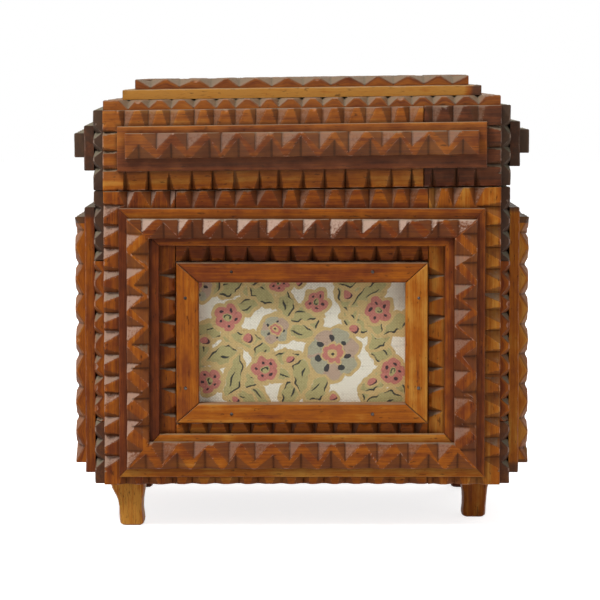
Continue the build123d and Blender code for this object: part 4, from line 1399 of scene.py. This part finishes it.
def build_boards():
    """The plain boards of the carcass, with their edges softened."""
    looks = {
        "bottom_board": (0, 0.40), "front_board": (0, 0.46), "left_board": (1, 0.44),
        "right_board": (1, 0.48), "lid_top_board": (0, 0.44), "lid_front_board": (0, 0.46),
        "lid_left_board": (1, 0.46), "lid_right_board": (1, 0.44),
        "back_board": (0, 0.42), "lid_back_board": (0, 0.45),
    }
    for number, (node, (axis, tone)) in enumerate(looks.items()):
        if "back" in node:
            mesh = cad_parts[node].data.copy()
            mesh.materials.clear()
        else:
            low, high = (np.array(corner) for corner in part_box(node))
            shape = bmesh.new()
            bmesh.ops.create_cube(shape, size=1.0)
            for vertex in shape.verts:
                vertex.co = (low + high) / 2 + np.array(vertex.co) * (high - low)
            bmesh.ops.bevel(shape, geom=shape.edges[:], offset=0.3 * MM, segments=2,
                            affect="EDGES", profile=0.5)
            mesh = bpy.data.meshes.new(f"aged_{node}")
            shape.to_mesh(mesh)
            shape.free()
            lean_over(mesh)
        mark_wood(mesh, axis, tone, grey=0.1, seed=number + 20)
        mesh.materials.append(material("carcass_wood"))
        board = new_piece(f"aged_{node}", mesh, node)
        if node == "lid_top_board":
            repaint(board, "grey", lambda places: places[:, 2] > high[2] - 0.1 * MM, 0.3)


def finish_hinges():
    """Tarnished metal on the hinges, which keep their CAD shapes."""
    slots = {"hinge_body_leaves": "hinge_brass", "hinge_lid_leaves": "hinge_brass",
             "hinge_pins": "brad_steel", "hinge_body_screws": "brad_steel",
             "hinge_lid_screws": "brad_steel"}
    for node, slot in slots.items():
        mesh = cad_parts[node].data
        mesh.materials.clear()
        mesh.materials.append(material(slot))


# Stage

def aim(obj, place, target):
    """Puts a light or camera at a place, looking at a target."""
    back = np.array(place, float) - np.array(target, float)
    back = back / np.linalg.norm(back)
    across = np.cross((0, 0, 1), back)
    across = across / np.linalg.norm(across)
    matrix = np.eye(4)
    matrix[:3] = np.stack([across, np.cross(back, across), back, place], 1)
    obj.matrix_world = Matrix(matrix.tolist())


def soft_light(name, place, width, power):
    """A square area light aimed at the box."""
    light = bpy.data.lights.new(name, "AREA")
    light.shape, light.size, light.energy = "SQUARE", width, power
    obj = bpy.data.objects.new(name, light)
    bpy.context.scene.collection.objects.link(obj)
    aim(obj, place, (0, 0, 0.11))


def looked_at(tree):
    """One where a surface is seen, mirrored or seen through, and zero where it only lights."""
    rays = put(tree, "ShaderNodeLightPath").outputs
    seen = calc(tree, "ADD", rays["Is Camera Ray"], rays["Is Glossy Ray"])
    return calc(tree, "ADD", seen, rays["Is Transmission Ray"], clamp=True)


def build_stage():
    """A pale floor under a white sky, soft lights and the camera."""
    bpy.context.scene.view_settings.view_transform = "Standard"
    settings = bpy.context.scene.box_stage
    mesh = bpy.data.meshes.new("floor")
    mesh.from_pydata([(-6, -6, 0), (6, -6, 0), (6, 6, 0), (-6, 6, 0)], [], [(0, 1, 2, 3)])
    made, tree, surface = new_material("pale floor")
    surface.inputs["Base Color"].default_value = (0.7, 0.7, 0.7, 1)
    surface.inputs["Roughness"].default_value = 0.9
    surface.inputs["Emission Color"].default_value = (1, 1, 1, 1)
    tree.links.new(calc(tree, "MULTIPLY", looked_at(tree), 0.8),
                   surface.inputs["Emission Strength"])
    mesh.materials.append(made)
    floor = bpy.data.objects.new("floor", mesh)
    bpy.context.scene.collection.objects.link(floor)

    for name, place, width, power in (("key light", (-1.0, -1.0, 1.9), 0.7, 42),
                                      ("fill light", (1.6, -1.5, 0.7), 1.2, 5),
                                      ("top light", (0.1, 0.5, 1.9), 1.0, 8),
                                      ("back light", (0.8, 1.7, 0.9), 1.2, 12)):
        soft_light(name, place, width, power)
    world = bpy.data.worlds.new("studio")
    bpy.context.scene.world = world
    world.use_nodes = True
    tree = world.node_tree
    tree.nodes.clear()
    strength = spread(tree, looked_at(tree), 0.0, 1.0, 0.28, 1.0)
    sky = put(tree, "ShaderNodeBackground", {"Color": (1, 1, 1, 1), "Strength": strength})
    end = tree.nodes.new("ShaderNodeOutputWorld")
    tree.links.new(sky.outputs[0], end.inputs["Surface"])

    camera = bpy.data.cameras.new("camera")
    camera.lens, camera.sensor_width = settings.lens, 36
    obj = bpy.data.objects.new("camera", camera)
    bpy.context.scene.collection.objects.link(obj)
    place = np.array((-0.001, -DEPTH / 2 - 3 * LAYER - settings.distance, settings.height))
    way = np.array((0, math.cos(settings.tilt), -math.sin(settings.tilt)))
    aim(obj, place, place + way)
    bpy.context.scene.camera = obj


# Operators and panel

class TRAMP_OT_front(bpy.types.Operator):
    """Build the carved layers on the front"""

    bl_idname = "tramp.front_layers"
    bl_label = "Front Layers"

    def execute(self, context):
        build_front_layers()
        return {"FINISHED"}


class TRAMP_OT_back(bpy.types.Operator):
    """Build the carved layers on the back"""

    bl_idname = "tramp.back_layers"
    bl_label = "Back Layers"

    def execute(self, context):
        build_back_layers()
        return {"FINISHED"}


class TRAMP_OT_sides(bpy.types.Operator):
    """Build the carved layers on the left and right"""

    bl_idname = "tramp.side_layers"
    bl_label = "Side Layers"

    def execute(self, context):
        build_side_layers()
        return {"FINISHED"}


class TRAMP_OT_lid(bpy.types.Operator):
    """Build the strips round the lid"""

    bl_idname = "tramp.lid_layers"
    bl_label = "Lid Layers"

    def execute(self, context):
        build_lid_layers()
        return {"FINISHED"}


class TRAMP_OT_lid_top(bpy.types.Operator):
    """Build the rings on top of the lid"""

    bl_idname = "tramp.lid_top"
    bl_label = "Lid Top"

    def execute(self, context):
        build_lid_top()
        return {"FINISHED"}


class TRAMP_OT_frames(bpy.types.Operator):
    """Build the picture frames and their brads"""

    bl_idname = "tramp.frames"
    bl_label = "Frames"

    def execute(self, context):
        build_frames()
        return {"FINISHED"}


class TRAMP_OT_cloths(bpy.types.Operator):
    """Build the sheets of printed cloth"""

    bl_idname = "tramp.cloths"
    bl_label = "Printed Cloths"

    def execute(self, context):
        build_cloths()
        return {"FINISHED"}


class TRAMP_OT_feet(bpy.types.Operator):
    """Build the four feet"""

    bl_idname = "tramp.feet"
    bl_label = "Feet"

    def execute(self, context):
        build_feet()
        return {"FINISHED"}


class TRAMP_OT_boards(bpy.types.Operator):
    """Build the boards of the carcass and finish the hinges"""

    bl_idname = "tramp.boards"
    bl_label = "Boards and Hinges"

    def execute(self, context):
        build_boards()
        finish_hinges()
        return {"FINISHED"}


class TRAMP_OT_stage(bpy.types.Operator):
    """Build the floor, lights and camera"""

    bl_idname = "tramp.stage"
    bl_label = "Stage"

    def execute(self, context):
        build_stage()
        return {"FINISHED"}


OPERATORS = (TRAMP_OT_front, TRAMP_OT_back, TRAMP_OT_sides, TRAMP_OT_lid, TRAMP_OT_lid_top,
             TRAMP_OT_frames, TRAMP_OT_boards, TRAMP_OT_cloths, TRAMP_OT_feet, TRAMP_OT_stage)


class TRAMP_PT_box(bpy.types.Panel):
    """Lists the steps that build the box"""

    bl_label = "Tramp Art Box"
    bl_idname = "TRAMP_PT_box"
    bl_space_type = "VIEW_3D"
    bl_region_type = "UI"
    bl_category = "Tramp Art"

    def draw(self, context):
        for operator in OPERATORS:
            self.layout.operator(operator.bl_idname)


CLASSES = (BoxSizes, BoxColours, StageSettings, *OPERATORS, TRAMP_PT_box)


def register():
    """Registers every class and hangs the settings on the scene."""
    for made in CLASSES:
        bpy.utils.register_class(made)
    bpy.types.Scene.box_sizes = PointerProperty(type=BoxSizes)
    bpy.types.Scene.box_colours = PointerProperty(type=BoxColours)
    bpy.types.Scene.box_stage = PointerProperty(type=StageSettings)


def unregister():
    """Takes off everything that register added."""
    for name in ("box_sizes", "box_colours", "box_stage"):
        delattr(bpy.types.Scene, name)
    for made in reversed(CLASSES):
        bpy.utils.unregister_class(made)


def main():
    """Builds the whole box."""
    register()
    for build in (carving_group, brad_group, grain_group, patches_group, weave_group):
        build()
    for operator in OPERATORS:
        group, name = operator.bl_idname.split(".")
        getattr(getattr(bpy.ops, group), name)()


if __name__ == "__main__":
    main()
